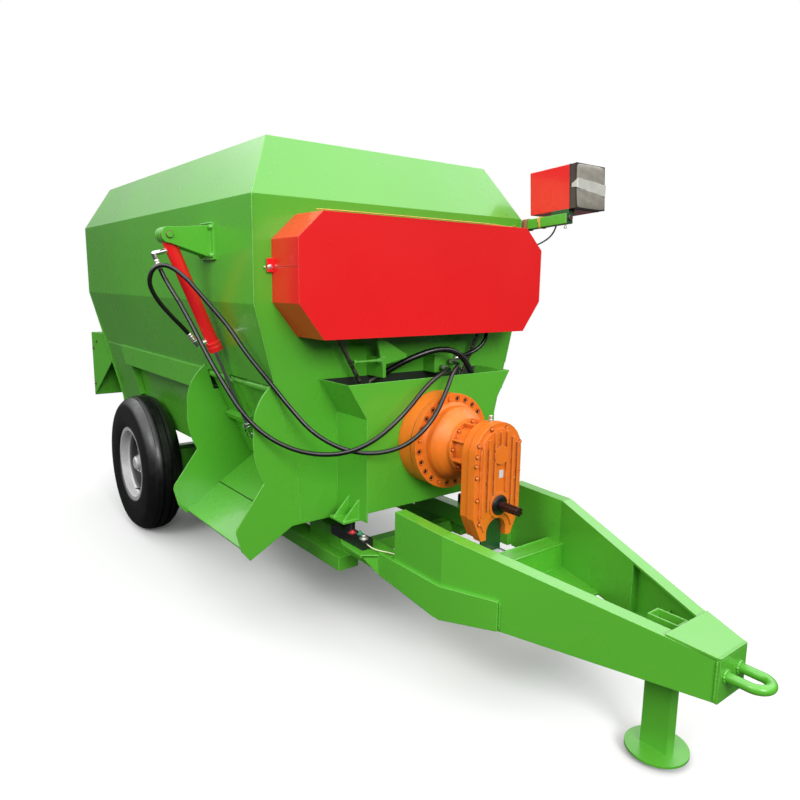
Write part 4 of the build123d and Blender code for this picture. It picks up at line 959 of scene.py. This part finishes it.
# Drive ----------------------------------------------------------------------------------------
@dataclass
class Gearbox:
    """Screws, plugs, breather and blank tags of the two castings, and the shaft's seal."""

    axis_z: float = 845.0
    front: float = -595.0
    flange_front: float = -328.0
    input_z: float = 645.0
    neck_radius: float = 103.0
    flange_radius: float = 178.0
    flange_screws: int = 24
    sunk_radius: float = 0.0122

    def case_places(self) -> list[Point]:
        """Places of the lid's screws: down its left side, round the arch and down its right.

        Returns:
            The places, in workshop millimetres.
        """
        rim = ((-109, 890), (-116, 849), (-120, 813), (-115, 767), (-111, 678), (-95, 580),
               (-45, 948), (37, 945), (114, 881), (111, 830), (113, 767), (111, 678), (95, 580))
        inner = ((-64, 740), (74, 743))
        return ([(x, self.front, z) for x, z in rim]
                + [(x, self.front - 8, z) for x, z in inner])

    def build(self) -> None:
        """Puts the fasteners, dark rings of painted shadow round the case and neck screws, plugs,
        breather, blank tags and the seal's lips.
        """
        neck = ring_places((0, -443, self.axis_z), self.neck_radius, np.arange(8) * math.pi / 4)
        case = np.array(self.case_places(), float)
        for name, places, size in (("case_screws", case, 0.013), ("neck_screws", neck, 0.012)):
            put(name, Screw(size, washer=False).at(places, FORWARD), ORANGE_CAST)
        # painted shadow: dark rings round the case and neck screw heads
        ring = lathe([(-0.0006, 0.0092), (0.0005, 0.0092), (0.0009, 0.0085), (0.001, 0.0066),
                      (-0.0006, 0.0066)], steps=18, closed=True)
        put("case_screw_shade_rings", ring.repeated(row(np.vstack([case, neck])), FORWARD), RUSTY_PIN)
        index = np.arange(self.flange_screws)
        flange = ring_places((0, self.flange_front + 0.2, self.axis_z), self.flange_radius,
                             (index + 0.5) * 2 * math.pi / self.flange_screws)
        is_plug = index % 5 == 1
        r = self.sunk_radius
        sunk = lathe([(-0.004, r), (0.0006, r), (0.0008, r * 0.86), (-0.0022, r * 0.7),
                      (-0.0026, r * 0.3)], steps=20)
        put("flange_screws", sunk.repeated(row(flange[~is_plug]), FORWARD), DARK_HOLE)
        put("flange_plugs", Screw(0.0125, Head.SOCKET, False).at(flange[is_plug], FORWARD),
            ORANGE_CAST)
        breather = lathe([(-0.002, 0.009), (0.006, 0.009), (0.007, 0.0065), (0.013, 0.0065),
                          (0.014, 0.0085), (0.021, 0.008), (0.023, 0.005)],
                         row((0, -545, 967)), UP, 20)
        put("case_breather", breather, ZINC)
        put("blank_gearbox_tag", block((-3, self.front - 9.2, 752), (19, self.front - 7.5, 783)),
            LABEL, bevel=0.0004)
        put("blank_shelf_tag", block((-40, -612, 445), (36, -575, 446.2)), LABEL, bevel=0.0003)
        lips = lathe([(0.0, 0.0385), (0.0035, 0.0405), (0.006, 0.0395), (0.008, 0.036),
                      (0.0105, 0.0305), (0.0118, 0.024), (0.0108, 0.0185), (0.006, 0.0181),
                      (0.0, 0.0181)], row((0, -607.5, self.input_z)), FORWARD, 56, closed=True)
        put("shaft_seal_lip", lips, BLACK_RUBBER, replaces=["shaft_seal"])


@dataclass
class ChainDrive:
    """Roller chain over the three sprockets, its tensioner, and the cover's latches."""

    middle_y: float = -67.0
    pitch: float = 25.4
    clear_radius: float = 112.0
    circles: tuple[Point, ...] = ((0, 845, 132.5), (400, 1500, 107.5), (-400, 1500, 107.5))

    def loop(self) -> np.ndarray:
        """Chain line as the outer hull of the three pitch circles, sampled evenly.

        Each circle gives an arc, each pair a common tangent; the support function
        h(t) = max over circles of (centre . n + radius) picks the circle for every direction.

        Returns:
            The joints as pairs (x, z), in workshop millimetres.
        """
        t = np.linspace(0, 2 * math.pi, 20001)
        normal = np.c_[np.cos(t), np.sin(t)]
        centres = np.array([c[:2] for c in self.circles], float)
        radii = np.array([c[2] for c in self.circles])
        pick = np.argmax(normal @ centres.T + radii, axis=1)
        points = centres[pick] + radii[pick, None] * normal
        step = np.r_[0.0, np.cumsum(np.linalg.norm(np.diff(points, axis=0), axis=1))]
        count = int(round(step[-1] / self.pitch / 2)) * 2
        s = np.arange(count) * step[-1] / count
        return np.c_[np.interp(s, step, points[:, 0]), np.interp(s, step, points[:, 1])]

    def links(self) -> Surface:
        """Rollers at each joint, and pairs of waisted plates between them, in two widths.

        Returns:
            The whole chain.
        """
        joints = self.loop()
        run = np.roll(joints, -1, axis=0) - joints
        run /= np.linalg.norm(run, axis=1, keepdims=True)
        side = np.c_[run[:, 1], -run[:, 0]]
        t = np.arange(4) * math.pi / 3 + math.pi / 2
        end = np.c_[np.cos(t), np.sin(t)] * 6.6
        half = self.pitch / 2
        outline = np.vstack([end, [(half, -5.0)], (self.pitch, 0) - end, [(half, 5.0)]])
        made = nothing()
        for parity, offset in ((0, 5.2), (1, 7.3)):
            base, along, across = (a[parity::2, None, :] for a in (joints, run, side))
            flat = base + outline[None, :, :1] * along + outline[None, :, 1:] * across
            for sign in (-1, 1):
                rings = [np.dstack([flat[..., 0],
                                    np.full(flat.shape[:2], self.middle_y + sign * wide),
                                    flat[..., 1]]) for wide in (offset, offset + 1.6)]
                for near, far in zip(*rings):
                    made += ring_surface(row(np.stack([near, far])))
        roller = lathe([(-0.0078, 0.0022), (-0.0078, 0.0048), (0.0078, 0.0048), (0.0078, 0.0022)],
                       steps=8)
        pins = row(np.c_[joints[:, 0], np.full(len(joints), self.middle_y), joints[:, 1]])
        return made + roller.repeated(pins, BACK)

    def tensioner(self) -> None:
        """Bracket, slipper arm and the adjusting bolt, whose thread is a rippled radius."""
        s = np.linspace(0.0, 0.139, 150)
        thread = 0.0062 + 0.0006 * np.abs(((s / 0.0026) % 1.0) - 0.5) * 2
        made = lathe(np.c_[s, thread], row((-344, -105, 1172)), (1, 0, 0), 20)
        for at in (-344, -222):
            made += lathe([(0.0, 0.0108), (0.009, 0.0114), (0.010, 0.0104)],
                          row((at, -105, 1172)), (1, 0, 0), 6)
        made += block((-205, -118, 1100), (-190, 0, 1185))
        arm = ((-205, 1150), (-76, 1176), (-76, 1190), (-219, 1270), (-228, 1258))
        made += ring_surface(row([[(x, y, z) for x, z in arm] for y in (-112, -98)]))
        put("tensioner_parts", made, GREEN_PAINT, replaces=["chain_tensioner"],
            bevel=0.0008)

    def shade_sheet(self) -> Surface:
        """Dark sheet on the wall inside the guard, round the lower bearing: painted shade where the
        guard shades the wall.

        Both outlines are walked by angle about the bearing: the outer one is the guard's own,
        sampled along its edges, and the inner one a circle.

        Returns:
            The plate.
        """
        axis_z = self.circles[0][1]
        corners = np.array([(-441, 1097), (441, 1097), (353, 957), (353, 602), (-353, 602),
                            (-353, 957), (-441, 1097)], float) - (0.0, axis_z)
        along = np.linspace(0.0, 6.0, 1201)
        edge = np.c_[np.interp(along, range(7), corners[:, 0]),
                     np.interp(along, range(7), corners[:, 1])]
        angle = np.arctan2(edge[:, 1], edge[:, 0])
        order = np.argsort(angle)
        t = np.linspace(-math.pi, math.pi, 145)[:-1]
        reach = np.interp(t, angle[order], np.hypot(*edge.T)[order])
        rings = [np.c_[radius * np.cos(t), np.full(len(t), y), axis_z + radius * np.sin(t)]
                 for radius, y in ((reach, -0.4), (reach, -1.8),
                                   (self.clear_radius, -1.8), (self.clear_radius, -0.4))]
        return ring_surface(row(rings), closed=True)

    def bearing_screws(self) -> Surface:
        """Four screws round each of the three bearings, in front and behind.

        Returns:
            All twenty-four screws.
        """
        made = nothing()
        t = np.arange(4) * math.pi / 2 + math.pi / 4
        for y, axis in ((-45, FORWARD), (2475, BACK)):
            for x, z, radius, size in ((0, 845, 88, 0.016), (-400, 1500, 50, 0.011),
                                       (400, 1500, 50, 0.011)):
                made += Screw(size).at(ring_places((x, y, z), radius, t), axis)
        return made

    def build(self) -> None:
        """Tensioner, painted shade sheet on the wall, chain, the cover's seams and latches, and
        bearing screws.
        """
        self.tensioner()
        # painted shade: a dark sheet where the wall lies in the guard's shadow
        put("guard_shade_sheet", self.shade_sheet(), GUARD_SHADE_FILM)
        put("roller_chain", self.links(), CHAIN_STEEL, replaces=["drive_chain"])
        put("cover_side_seams", block((-645.8, -203, 1542.4), (-644.5, -22, 1543.6))
            + block((644.5, -203, 1542.4), (645.8, -22, 1543.6)), BEZEL, bevel=0.0002)
        put("cover_latch_nut", Screw(0.008, washer=False).at([(-678, -12, 1541)], (-1, 0, 0)),
            PALE_TIE)
        put("cover_latch_tabs", block((-671, -14, 1522), (-643, -9, 1574))
            + block((643, -14, 1522), (671, -9, 1574)), RED_PAINT, bevel=0.0015)
        put("cover_latch_screws", Screw(0.012).at([(-659, -14, 1541), (659, -14, 1541)], FORWARD),
            ZINC)
        put("bearing_screws", self.bearing_screws(), ZINC)


# Door drive -----------------------------------------------------------------------------------
@dataclass
class DoorRam:
    """Pins, eye sleeve and gland of the door's cylinder."""

    top: Point = (-897.0, 410.0, 1665.0)
    eye: Point = (-546.0, 410.0, 805.0)
    half_bracket: float = 40.0
    half_fork: float = 36.0

    def at(self, end: Point, aside: float) -> np.ndarray:
        """Place beside one end of the ram, in workshop millimetres.

        Args:
            end: The end's middle.
            aside: How far beside it, along Y.

        Returns:
            The place.
        """
        return np.asarray(end) + (0.0, aside, 0.0)

    def build(self) -> None:
        """Puts the pin heads, the sleeve, the gland's rings, the wiper and the base's screws."""
        disc = lathe([(-0.001, 0.0155), (0.0012, 0.0155), (0.0018, 0.0145), (0.0018, 0.0118),
                      (0.0042, 0.0114), (0.0048, 0.0098)], steps=28)
        ends = row([self.at(self.top, sign * self.half_bracket) for sign in (-1, 1)])
        put("bracket_pin_heads", disc.repeated(ends, np.array([FORWARD, BACK])), RUSTY_PIN)
        sleeve = lathe([(-0.0225, 0.0303), (-0.0225, 0.0318), (0.0225, 0.0318), (0.0225, 0.0303)],
                       row(self.top), BACK, 48, closed=True)
        put("ram_eye_sleeve", sleeve, GREEN_PAINT, "cylinder_barrel")
        dome = Screw(0.016, Head.DOME)
        put("fork_pin_heads", dome.at([self.at(self.eye, -self.half_fork)], FORWARD)
            + dome.at([self.at(self.eye, self.half_fork)], BACK), ZINC, "cylinder_rod")
        along = np.subtract(self.eye, self.top)
        gland = lathe([(0.468, 0.0272), (0.469, 0.0318), (0.478, 0.0318), (0.479, 0.0306),
                       (0.486, 0.0306), (0.487, 0.0318), (0.5, 0.0318), (0.502, 0.0272)],
                      row(self.top), along, 40)
        put("ram_gland_rings", gland, RED_PAINT, "cylinder_barrel")
        wiper = lathe([(0.5095, 0.0131), (0.5095, 0.021), (0.513, 0.0195), (0.5145, 0.0131)],
                      row(self.top), along, 32, closed=True)
        put("ram_wiper", wiper, BLACK_RUBBER, "cylinder_barrel")
        base = [(-731, y, z) for y in (352, 468) for z in (1590, 1703)]
        put("bracket_screws", Screw(0.016).at(base, (-1, 0, 0)), GREEN_PAINT)


# Weldments ------------------------------------------------------------------------------------
@dataclass
class Welds:
    """Runs of weld along the joints of the sheet and the drawbar, with their sizes."""

    paired: tuple[tuple[Point, Point, float], ...] = (
        ((445, -1, 1100), (355, -1, 955), 3.0), ((355, -1, 955), (355, -1, 600), 3.0),
        ((721, -1, 1402), (721, -1, 1806), 2.5), ((721, -1, 1402), (645, -1, 1100), 2.5),
        ((304, -693, 445), (304, -693, 346), 4.0), ((77, -1530, 462), (77, -1530, 331), 4.0),
        ((285, -896, 440), (285, -896, 337), 4.0), ((358, -320, 346), (364, -655, 310), 2.5),
        ((362, -164, 535), (430, -164, 535), 2.5), ((362, -88, 535), (430, -88, 535), 2.5),
    )
    single: tuple[tuple[Point, Point, float], ...] = (
        ((-645, 0, 1100), (-545, 0, 700), 2.5), ((-545, 0, 700), (-530, 0, 500), 2.5),
        ((-304, -614, 445), (304, -614, 445), 4.0), ((-304, -693, 445), (304, -693, 445), 4.0),
        ((-355, -164, 537), (-355, -164, 614), 2.5), ((-355, -88, 537), (-355, -88, 614), 2.5),
        ((-731, 340, 1574), (-731, 480, 1574), 3.0), ((-731, 340, 1719), (-731, 480, 1719), 3.0),
    )

    def eye_roots(self) -> Surface:
        """Collars of weld where the bent bar meets the nose plate, as rippled rings.

        Returns:
            The two collars.
        """
        t = np.linspace(0, 2 * math.pi, 49)[:-1]
        made = nothing()
        size = 1 + 0.2 * np.sin(t * 11) + 0.1 * np.sin(t * 5)
        for x in (-40.0, 40.0):
            ring = row(ring_places((x, -1541.5, EYE_Z), 16.5, t))
            made += sweep(ring, circle(0.0048, 8), size, closed=True, up=BACK)
        return made

    def build(self) -> None:
        """Lays all runs as one painted piece."""
        made = self.eye_roots()
        sided = [(run, (side, 1, 1)) for run in self.paired for side in (-1, 1)]
        for (start, end, size), flip in sided + [(run, (1, 1, 1)) for run in self.single]:
            made += weld_bead(row(np.multiply(start, flip)), row(np.multiply(end, flip)),
                              size / 1000)
        put("weld_runs", made, GREEN_PAINT, smooth=60.0)


@dataclass
class Chassis:
    """Chassis rails, a dark line of painted shade along the chute floor's fold, load-cell bolts and
    guard bolts.
    """

    cell_x: float = 367.0
    cell_top: float = 470.0

    def build(self) -> None:
        """Puts the rails, the painted shade line on the chute floor, the coloured caps and the
        bolts.
        """
        self.rail("right_chassis_rail", -1)
        self.rail("left_chassis_rail", 1)
        # painted shade: a black strip along the chute floor's fold line
        put("chute_fold_shade_line", block((-592.5, 4, 518), (-588, 696, 521.4)), GASKET, bevel=0.0004)
        x, z = self.cell_x, self.cell_top
        for name, screw, places, finish in (
                ("cell_bolts", Screw(0.021), ((x + 3, -222, z), (x, 2440, z)), ZINC),
                ("cell_green_caps", Screw(0.016), ((x - 12, -172, z),), GREEN_CAP),
                ("cell_red_caps", Screw(0.02, Head.DOME), ((x + 4, -140, z),), RED_CAP)):
            both = [(side * px, py, pz) for side in (-1, 1) for px, py, pz in places]
            put(name, screw.at(both, UP), finish)
        for name, side in (("right", -1), ("left", 1)):
            guard = [(side * (600 + 55 * (y - 2430) / 290), y, z)
                     for y, z in ((2650, 1060), (2700, 1010), (2700, 760))]
            put(name + "_guard_bolts", Screw(0.012).at(guard, (side, 0, 0)), DARK_STEEL)

    def side_plate(self, side: int) -> Surface:
        """Plate on the beam's flank: a four-cornered section at rear end, bend and front end.

        Args:
            side: -1 for the chute's side, 1 for the other.

        Returns:
            The bent plate.
        """
        inner = np.array([(352.0, -318.0), (352.0, -675.8), (283.0, -892.0)])
        outer = np.array([(366.0, -318.0), (366.0, -677.9), (295.1, -895.7)])
        low, top = np.array([346.0, 309.0, 337.0]), np.array([441.0, 437.0, 444.0])
        rings = np.stack([np.c_[outer, low], np.c_[outer, top], np.c_[inner, top],
                          np.c_[inner, low]], axis=1)
        return ring_surface(row(rings * (side, 1, 1)))

    def prism(self, plan: Sequence[tuple[float, float]], low: float, high: float,
              side: int) -> Surface:
        """Flat plate: a plan outline in millimetres raised from low to high."""
        flat = np.asarray(plan, float) * (side, 1)
        return ring_surface(row([np.c_[flat, np.full(len(flat), z)] for z in (low, high)]))

    def rail(self, name: str, side: int) -> None:
        """The rail beside the beam: flank plate, gusset, shelf, web, long low box and post.

        Args:
            name: The CAD node that it stands for.
            side: -1 for the chute's side, 1 for the other.
        """
        made = self.side_plate(side)
        gusset = np.array([[(424, -275, 429), (366, -318, 429), (366, -318, 346)],
                           [(424, -265, 429), (358, -306, 429), (358, -306, 346)]], float)
        made += ring_surface(row(gusset * (side, 1, 1)))
        made += self.prism(((354, -319), (366, -318), (424, -275), (418, -130), (345, 0),
                            (345, 250), (280, 250), (280, -404), (354, -404)), 418, 430, side)
        for low, high in (((280, -404, 345), (345, 250, 418)), ((300, -80, 285), (400, 2345, 345)),
                          ((341, 2290, 345), (393, 2380, 430))):
            made += Surface(row(cuboid(low, high).points * (side, 1, 1)), cuboid(low, high).faces)
        put(name + "_plates", made, GREEN_PAINT, replaces=[name], bevel=0.0015)


@dataclass
class Display:
    """Weigh display and its arm, which lean back together about the wall plate."""

    centre: Point = (852.0, -170.0, 1932.0)
    half: Point = (107.0, 139.0, 101.0)
    lean: float = 0.0663
    arm_middle: tuple[float, float] = (-103.0, -143.5)
    arm_half: float = 23.0

    def leaned(self, made: Surface) -> Surface:
        """Box millimetres to frame metres: y' = y cos a + z sin a, z' = z cos a - y sin a.

        Args:
            made: Surface about the box's own middle.

        Returns:
            The surface leaned back and moved to its place.
        """
        x, y, z = made.points.T
        c, s = math.cos(self.lean), math.sin(self.lean)
        turned = np.c_[x, y * c + z * s, z * c - y * s]
        return Surface(row(turned + self.centre), made.faces)

    def slab(self, back: float, front: float, grow: float) -> Surface:
        """Slice of the box between two depths, a little larger or smaller than the shell."""
        x, z = self.half[0] + grow, self.half[2] + grow
        return self.leaned(cuboid((-x, -front, -z), (x, -back, z)))

    def face(self) -> Surface:
        """Wrapped face: y = front - h (1 - u^8)(1 - v^8) with creases, its outline bowed out.

        Returns:
            The face with its back.
        """
        n = 44
        u, v = np.meshgrid(np.linspace(-1, 1, n), np.linspace(-1, 1, n), indexing="ij")
        x = u * (102.5 + 3.5 * (1 - v ** 2))
        z = v * (97.5 + 2.5 * (1 - u ** 2))
        crease = 0.8 * np.sin(7 * u + 5 * v) * np.cos(9 * v - 3 * u)
        y = -136.0 - (6.0 + crease) * (1 - u ** 8) * (1 - v ** 8)
        skin = np.stack([x, y, z], axis=-1).reshape(-1, 3)
        back = np.stack([x, np.full_like(y, -134.5), z], axis=-1).reshape(-1, 3)
        count = n * n
        i = (np.arange(n - 1)[:, None] * n + np.arange(n - 1)[None, :]).reshape(-1, 1)
        quads = np.hstack([i, i + 1, i + n + 1, i + n])
        rim = np.r_[np.arange(n), np.arange(2 * n - 1, count, n),
                    np.arange(count - 2, count - n - 1, -1), np.arange(count - 2 * n, 0, -n)]
        after = np.roll(rim, -1)
        wall = np.c_[rim, after, after + count, rim + count]
        faces = quads.tolist() + (quads[:, ::-1] + count).tolist() + wall.tolist()
        return self.leaned(Surface(np.vstack([skin, back]), [tuple(face) for face in faces]))

    def tape(self) -> Surface:
        """Tape over the face: a strip that falls along it and narrows at its ends.

        Returns:
            The strip.
        """
        t = np.linspace(0, 1, 70)
        x = np.interp(t, (0.0, 0.1, 0.96, 1.0), (-108.2, -107.6, 106.5, 107.8))
        y = np.interp(t, (0.0, 0.1, 0.13, 0.94, 0.97, 1.0),
                      (-111, -139, -143.6, -143.6, -139, -127))
        middle = np.interp(t, (0.0, 0.12, 1.0), (3.0, 9.5, -11.5)) + 0.8 * np.sin(t * 13)
        half = np.interp(t, (0.0, 0.06, 0.13, 1.0), (9.0, 13.0, 22.5, 26.5))
        section = np.array([(-0.0004, -0.001), (0.0004, -0.001), (0.0004, 0.001), (-0.0004, 0.001)])
        path = self.leaned(Surface(np.c_[x, y, middle], [])).points
        strip = sweep(path, section)
        rings = strip.points.reshape(-1, 4, 3)
        centre = rings.mean(axis=1, keepdims=True)
        rings[..., 2] = centre[..., 2] + (rings[..., 2] - centre[..., 2]) * half[:, None]
        return strip

    def arm(self) -> Surface:
        """Square arm, leaned, and the upright plate that holds it to the wall.

        Returns:
            The arm with its plate.
        """
        (x, z), half = self.arm_middle, self.arm_half
        tube = self.leaned(cuboid((x - half, -94, z - half), (x + half, 264, z + half)))
        return tube + block((721.2, 0, 1700), (729.5, 110, 1802))

    def winding(self, y: float, turns: float, pitch: float, gauge: float) -> Surface:
        """Wire wound on the square arm: its reach follows a superellipse of power 6.

        Args:
            y: Where it starts along the arm, from the box's middle.
            turns: How many turns.
            pitch: How far apart they are.
            gauge: Thickness of the wire.

        Returns:
            The wound wire.
        """
        t = np.linspace(0, 2 * math.pi * turns, int(44 * turns))
        c, s = np.cos(t), np.sin(t)
        reach = (self.arm_half + 0.6 + gauge / 2) * (np.abs(c) ** 6 + np.abs(s) ** 6) ** (-1 / 6)
        wander = 0.7 * np.sin(3.1 * t)
        path = np.c_[self.arm_middle[0] + reach * c, y + pitch * t / (2 * math.pi) + wander,
                     self.arm_middle[1] + reach * s]
        return sweep(self.leaned(Surface(path, [])).points, circle(gauge / 2000, 7), up=(0, 1, 0))

    def build(self) -> None:
        """Puts shell, gaskets, bezel, wrapped face, tape, arm, clamp and windings."""
        put("display_shell", self.slab(-139, 98, 0.0), RED_PAINT,
            replaces=["display_box"], bevel=0.003)
        put("display_gaskets", self.slab(97.5, 102, 0.7) + self.slab(131.5, 136.5, 0.5), GASKET,
            bevel=0.001)
        put("display_bezel", self.slab(101, 133, -0.6), BEZEL, bevel=0.002)
        put("display_wrap", self.face(), GREY_FILM, smooth=60.0)
        put("display_tape", self.tape(), WHITE_TAPE, smooth=50.0)
        put("display_arm_tube", self.arm(), GREEN_PAINT,
            replaces=["display_arm"], bevel=0.002)
        clamp = cuboid((-108, -92, -121), (-62, 8, -98.5))
        clamp += cuboid((-124, -97, -166), (-82, -93.5, -121))
        put("display_clamp", self.leaned(clamp), STAY_PAINT, bevel=0.001)
        knob = lathe([(0.0, 0.005), (0.004, 0.005), (0.005, 0.0125), (0.016, 0.0145),
                      (0.019, 0.012)], row((748, -266, 1797)), (0.0, -1.0, 0.06), 24)
        put("display_knob", knob, BEZEL)
        bolt = lathe([(-0.004, 0.0045), (0.012, 0.0045), (0.013, 0.0075), (0.02, 0.0075),
                      (0.0215, 0.006)], row((747, -254, 1772)), (0, 0, -1), 12)
        put("display_arm_bolt", bolt, ZINC)
        gland = lathe([(0.0, 0.011), (0.006, 0.0125), (0.02, 0.0125), (0.026, 0.0125)],
                      row((815, -150, 1808)), UP, 16)
        put("display_gland", gland, GASKET)
        for name, winding, finish in (("pale", (178, 4.0, 7.0, 4.0), PALE_TIE),
                                      ("brown", (139, 5.0, 7.4, 5.0), BROWN_TIE),
                                      ("orange", (142.5, 4.0, 8.6, 3.6), YELLOW_TIE),
                                      ("yellow", (58, 2.5, 7.0, 4.2), YELLOW_TIE)):
            put(f"arm_{name}_wire", self.winding(*winding), finish)


# Studio ---------------------------------------------------------------------------------------
@dataclass
class Studio:
    """Camera at the photograph's place, soft lamps, white surround and pale floor."""

    place: Point = (-1.8464, -0.7339, 1.0845)
    azimuth: float = 0.6625
    elevation: float = 0.1728
    roll: float = 0.0138
    focal_pixels: float = 671.76
    picture_pixels: float = 800.0
    sensor: float = 36.0
    floor_radius: float = 7.0
    sky: float = 1.12
    mirror_share: float = 0.03
    shine: float = 2.25

    def camera(self) -> None:
        """Camera whose axes come from azimuth, elevation and roll."""
        sa, ca = math.sin(self.azimuth), math.cos(self.azimuth)
        se, ce = math.sin(self.elevation), math.cos(self.elevation)
        look = np.array([sa * ce, ca * ce, -se])
        right = np.array([ca, -sa, 0.0])
        over = np.cross(right, look)
        cr, sr = math.cos(self.roll), math.sin(self.roll)
        x, y = right * cr + over * sr, -right * sr + over * cr
        data = bpy.data.cameras.new("photo_camera")
        data.sensor_width = self.sensor
        data.lens = self.focal_pixels / self.picture_pixels * self.sensor
        data.clip_start, data.clip_end = 0.05, 60.0
        camera = bpy.data.objects.new("photo_camera", data)
        camera.matrix_world = Matrix((
            (x[0], y[0], -look[0], self.place[0]), (x[1], y[1], -look[1], self.place[1]),
            (x[2], y[2], -look[2], self.place[2]), (0.0, 0.0, 0.0, 1.0)))
        bpy.context.scene.collection.objects.link(camera)
        bpy.context.scene.camera = camera

    def lamp(self, name: str, place: Point, power: float, size: float) -> None:
        """Square lamp that faces the wagon's middle.

        Args:
            name: The lamp's name.
            place: Where it stands, in metres.
            power: Its power, in watts.
            size: Its side, in metres.
        """
        data = bpy.data.lights.new(name, "AREA")
        data.energy, data.size = power, size
        lamp = bpy.data.objects.new(name, data)
        aim = (Vector((0.0, MIDDLE_Y, 0.3)) - Vector(place)).to_track_quat("-Z", "Y")
        lamp.matrix_world = Matrix.Translation(place) @ aim.to_matrix().to_4x4()
        bpy.context.scene.collection.objects.link(lamp)

    def world(self) -> None:
        """Sky over a dim horizon as light; camera and glass see white, and mirrors part of it."""
        world = bpy.data.worlds.new("studio")
        bpy.context.scene.world = world
        world.use_nodes = True
        sky = Wiring(world.node_tree, "Generated")
        height = sky.axis("Z")
        glossy = sky.node("ShaderNodeLightPath").outputs["Is Glossy Ray"]
        glow = sky.maths("MULTIPLY_ADD", sky.fit(height, 0.38, 0.6, 0.0, self.shine), glossy,
                         sky.fit(height, 0.0, 0.55, 0.06, 1.0))
        soft = sky.node("ShaderNodeBackground", {"Color": glow, "Strength": self.sky})
        white = sky.node("ShaderNodeBackground", {"Color": (1.0, 1.0, 1.0), "Strength": 1.0})
        mix = sky.node("ShaderNodeMixShader", {0: self.seen(sky), 1: soft.outputs[0],
                                               2: white.outputs[0]})
        sky.node("ShaderNodeOutputWorld", {"Surface": mix.outputs[0]})

    def seen(self, wiring: Wiring) -> Socket:
        """Share of the white surround: all for camera and glass, part for mirrors, else none.

        Args:
            wiring: The node tree that it is added to.

        Returns:
            The share's socket.
        """
        ray = wiring.node("ShaderNodeLightPath").outputs
        either = wiring.maths("MAXIMUM", ray["Is Camera Ray"], ray["Is Transmission Ray"])
        return wiring.maths("MULTIPLY_ADD", ray["Is Glossy Ray"], self.mirror_share, either,
                            clamp=True)

    def floor(self) -> None:
        """Round pale floor that fades out to the white surround."""
        t = np.arange(96) * 2 * math.pi / 96
        ring = np.c_[self.floor_radius * np.cos(t), MIDDLE_Y + self.floor_radius * np.sin(t),
                     np.full(96, GROUND - 0.001)]
        mesh = bpy.data.meshes.new("studio_floor")
        mesh.from_pydata(ring.tolist(), [], [tuple(range(96))])
        r = Recipe("pale_floor")
        glossy = r.node("ShaderNodeLightPath").outputs["Is Glossy Ray"]
        lit = r.blend(glossy, (0.075, 0.075, 0.073), (0.02, 0.02, 0.02))
        r.values(Base_Color=r.blend(self.seen(r), lit, (0.92, 0.92, 0.92)), Roughness=0.9,
                 Specular_IOR_Level=0.0)
        shift = r.node("ShaderNodeVectorMath", {0: r.place}, operation="SUBTRACT")
        shift.inputs[1].default_value = (0.0, MIDDLE_Y, GROUND)
        reach = r.node("ShaderNodeVectorMath", {0: shift.outputs[0]}, operation="LENGTH")
        mix = r.node("ShaderNodeMixShader", {
            0: r.fit(reach.outputs["Value"], 2.4, 4.8), 1: r.shader.outputs["BSDF"],
            2: r.node("ShaderNodeBsdfTransparent").outputs[0]})
        r.feed(r.out.inputs["Surface"], mix.outputs[0])
        mesh.materials.append(r.material)
        floor = bpy.data.objects.new("studio_floor", mesh)
        bpy.context.scene.collection.objects.link(floor)

    def build(self) -> None:
        """Surround, floor and lamps, seen in plain colours."""
        bpy.context.scene.view_settings.view_transform = "Standard"
        self.world()
        self.floor()
        self.lamp("key_lamp", (-3.6, -9.5, 5.8), 950.0, 4.9)
        self.lamp("side_lamp", (-5.0, 0.5, 4.0), 130.0, 3.0)


def dress_nodes() -> None:
    """Gives every CAD node its finish, by name first and else by the record's slot."""
    for entry in frame["record"]["subparts"]:
        node, slot = entry["node"], Slot(entry["material_slot"])
        finish = NODE_FINISH.get(node, SLOT_FINISH[slot])
        slots = frame["nodes"][node].material_slots
        for index in range(len(slots)):
            slots[index].material = finish.material()
        if not len(slots):
            frame["nodes"][node].data.materials.append(finish.material())


def main() -> None:
    """Builds the studio, the cords and every sub-assembly."""
    logging.basicConfig(level=logging.INFO, format="%(message)s")
    studio = Studio()
    studio.camera()
    Plumbing().build()
    dress_nodes()
    for wheel in (Wheel("left", 634.0), Wheel("right", -634.0)):
        wheel.build()
    for assembly in (Gearbox(), ChainDrive(), DoorRam(), Welds(), Chassis(), Display()):
        assembly.build()
        LOG.info("%s done", type(assembly).__name__)
    studio.build()


if __name__ == "__main__":
    main()
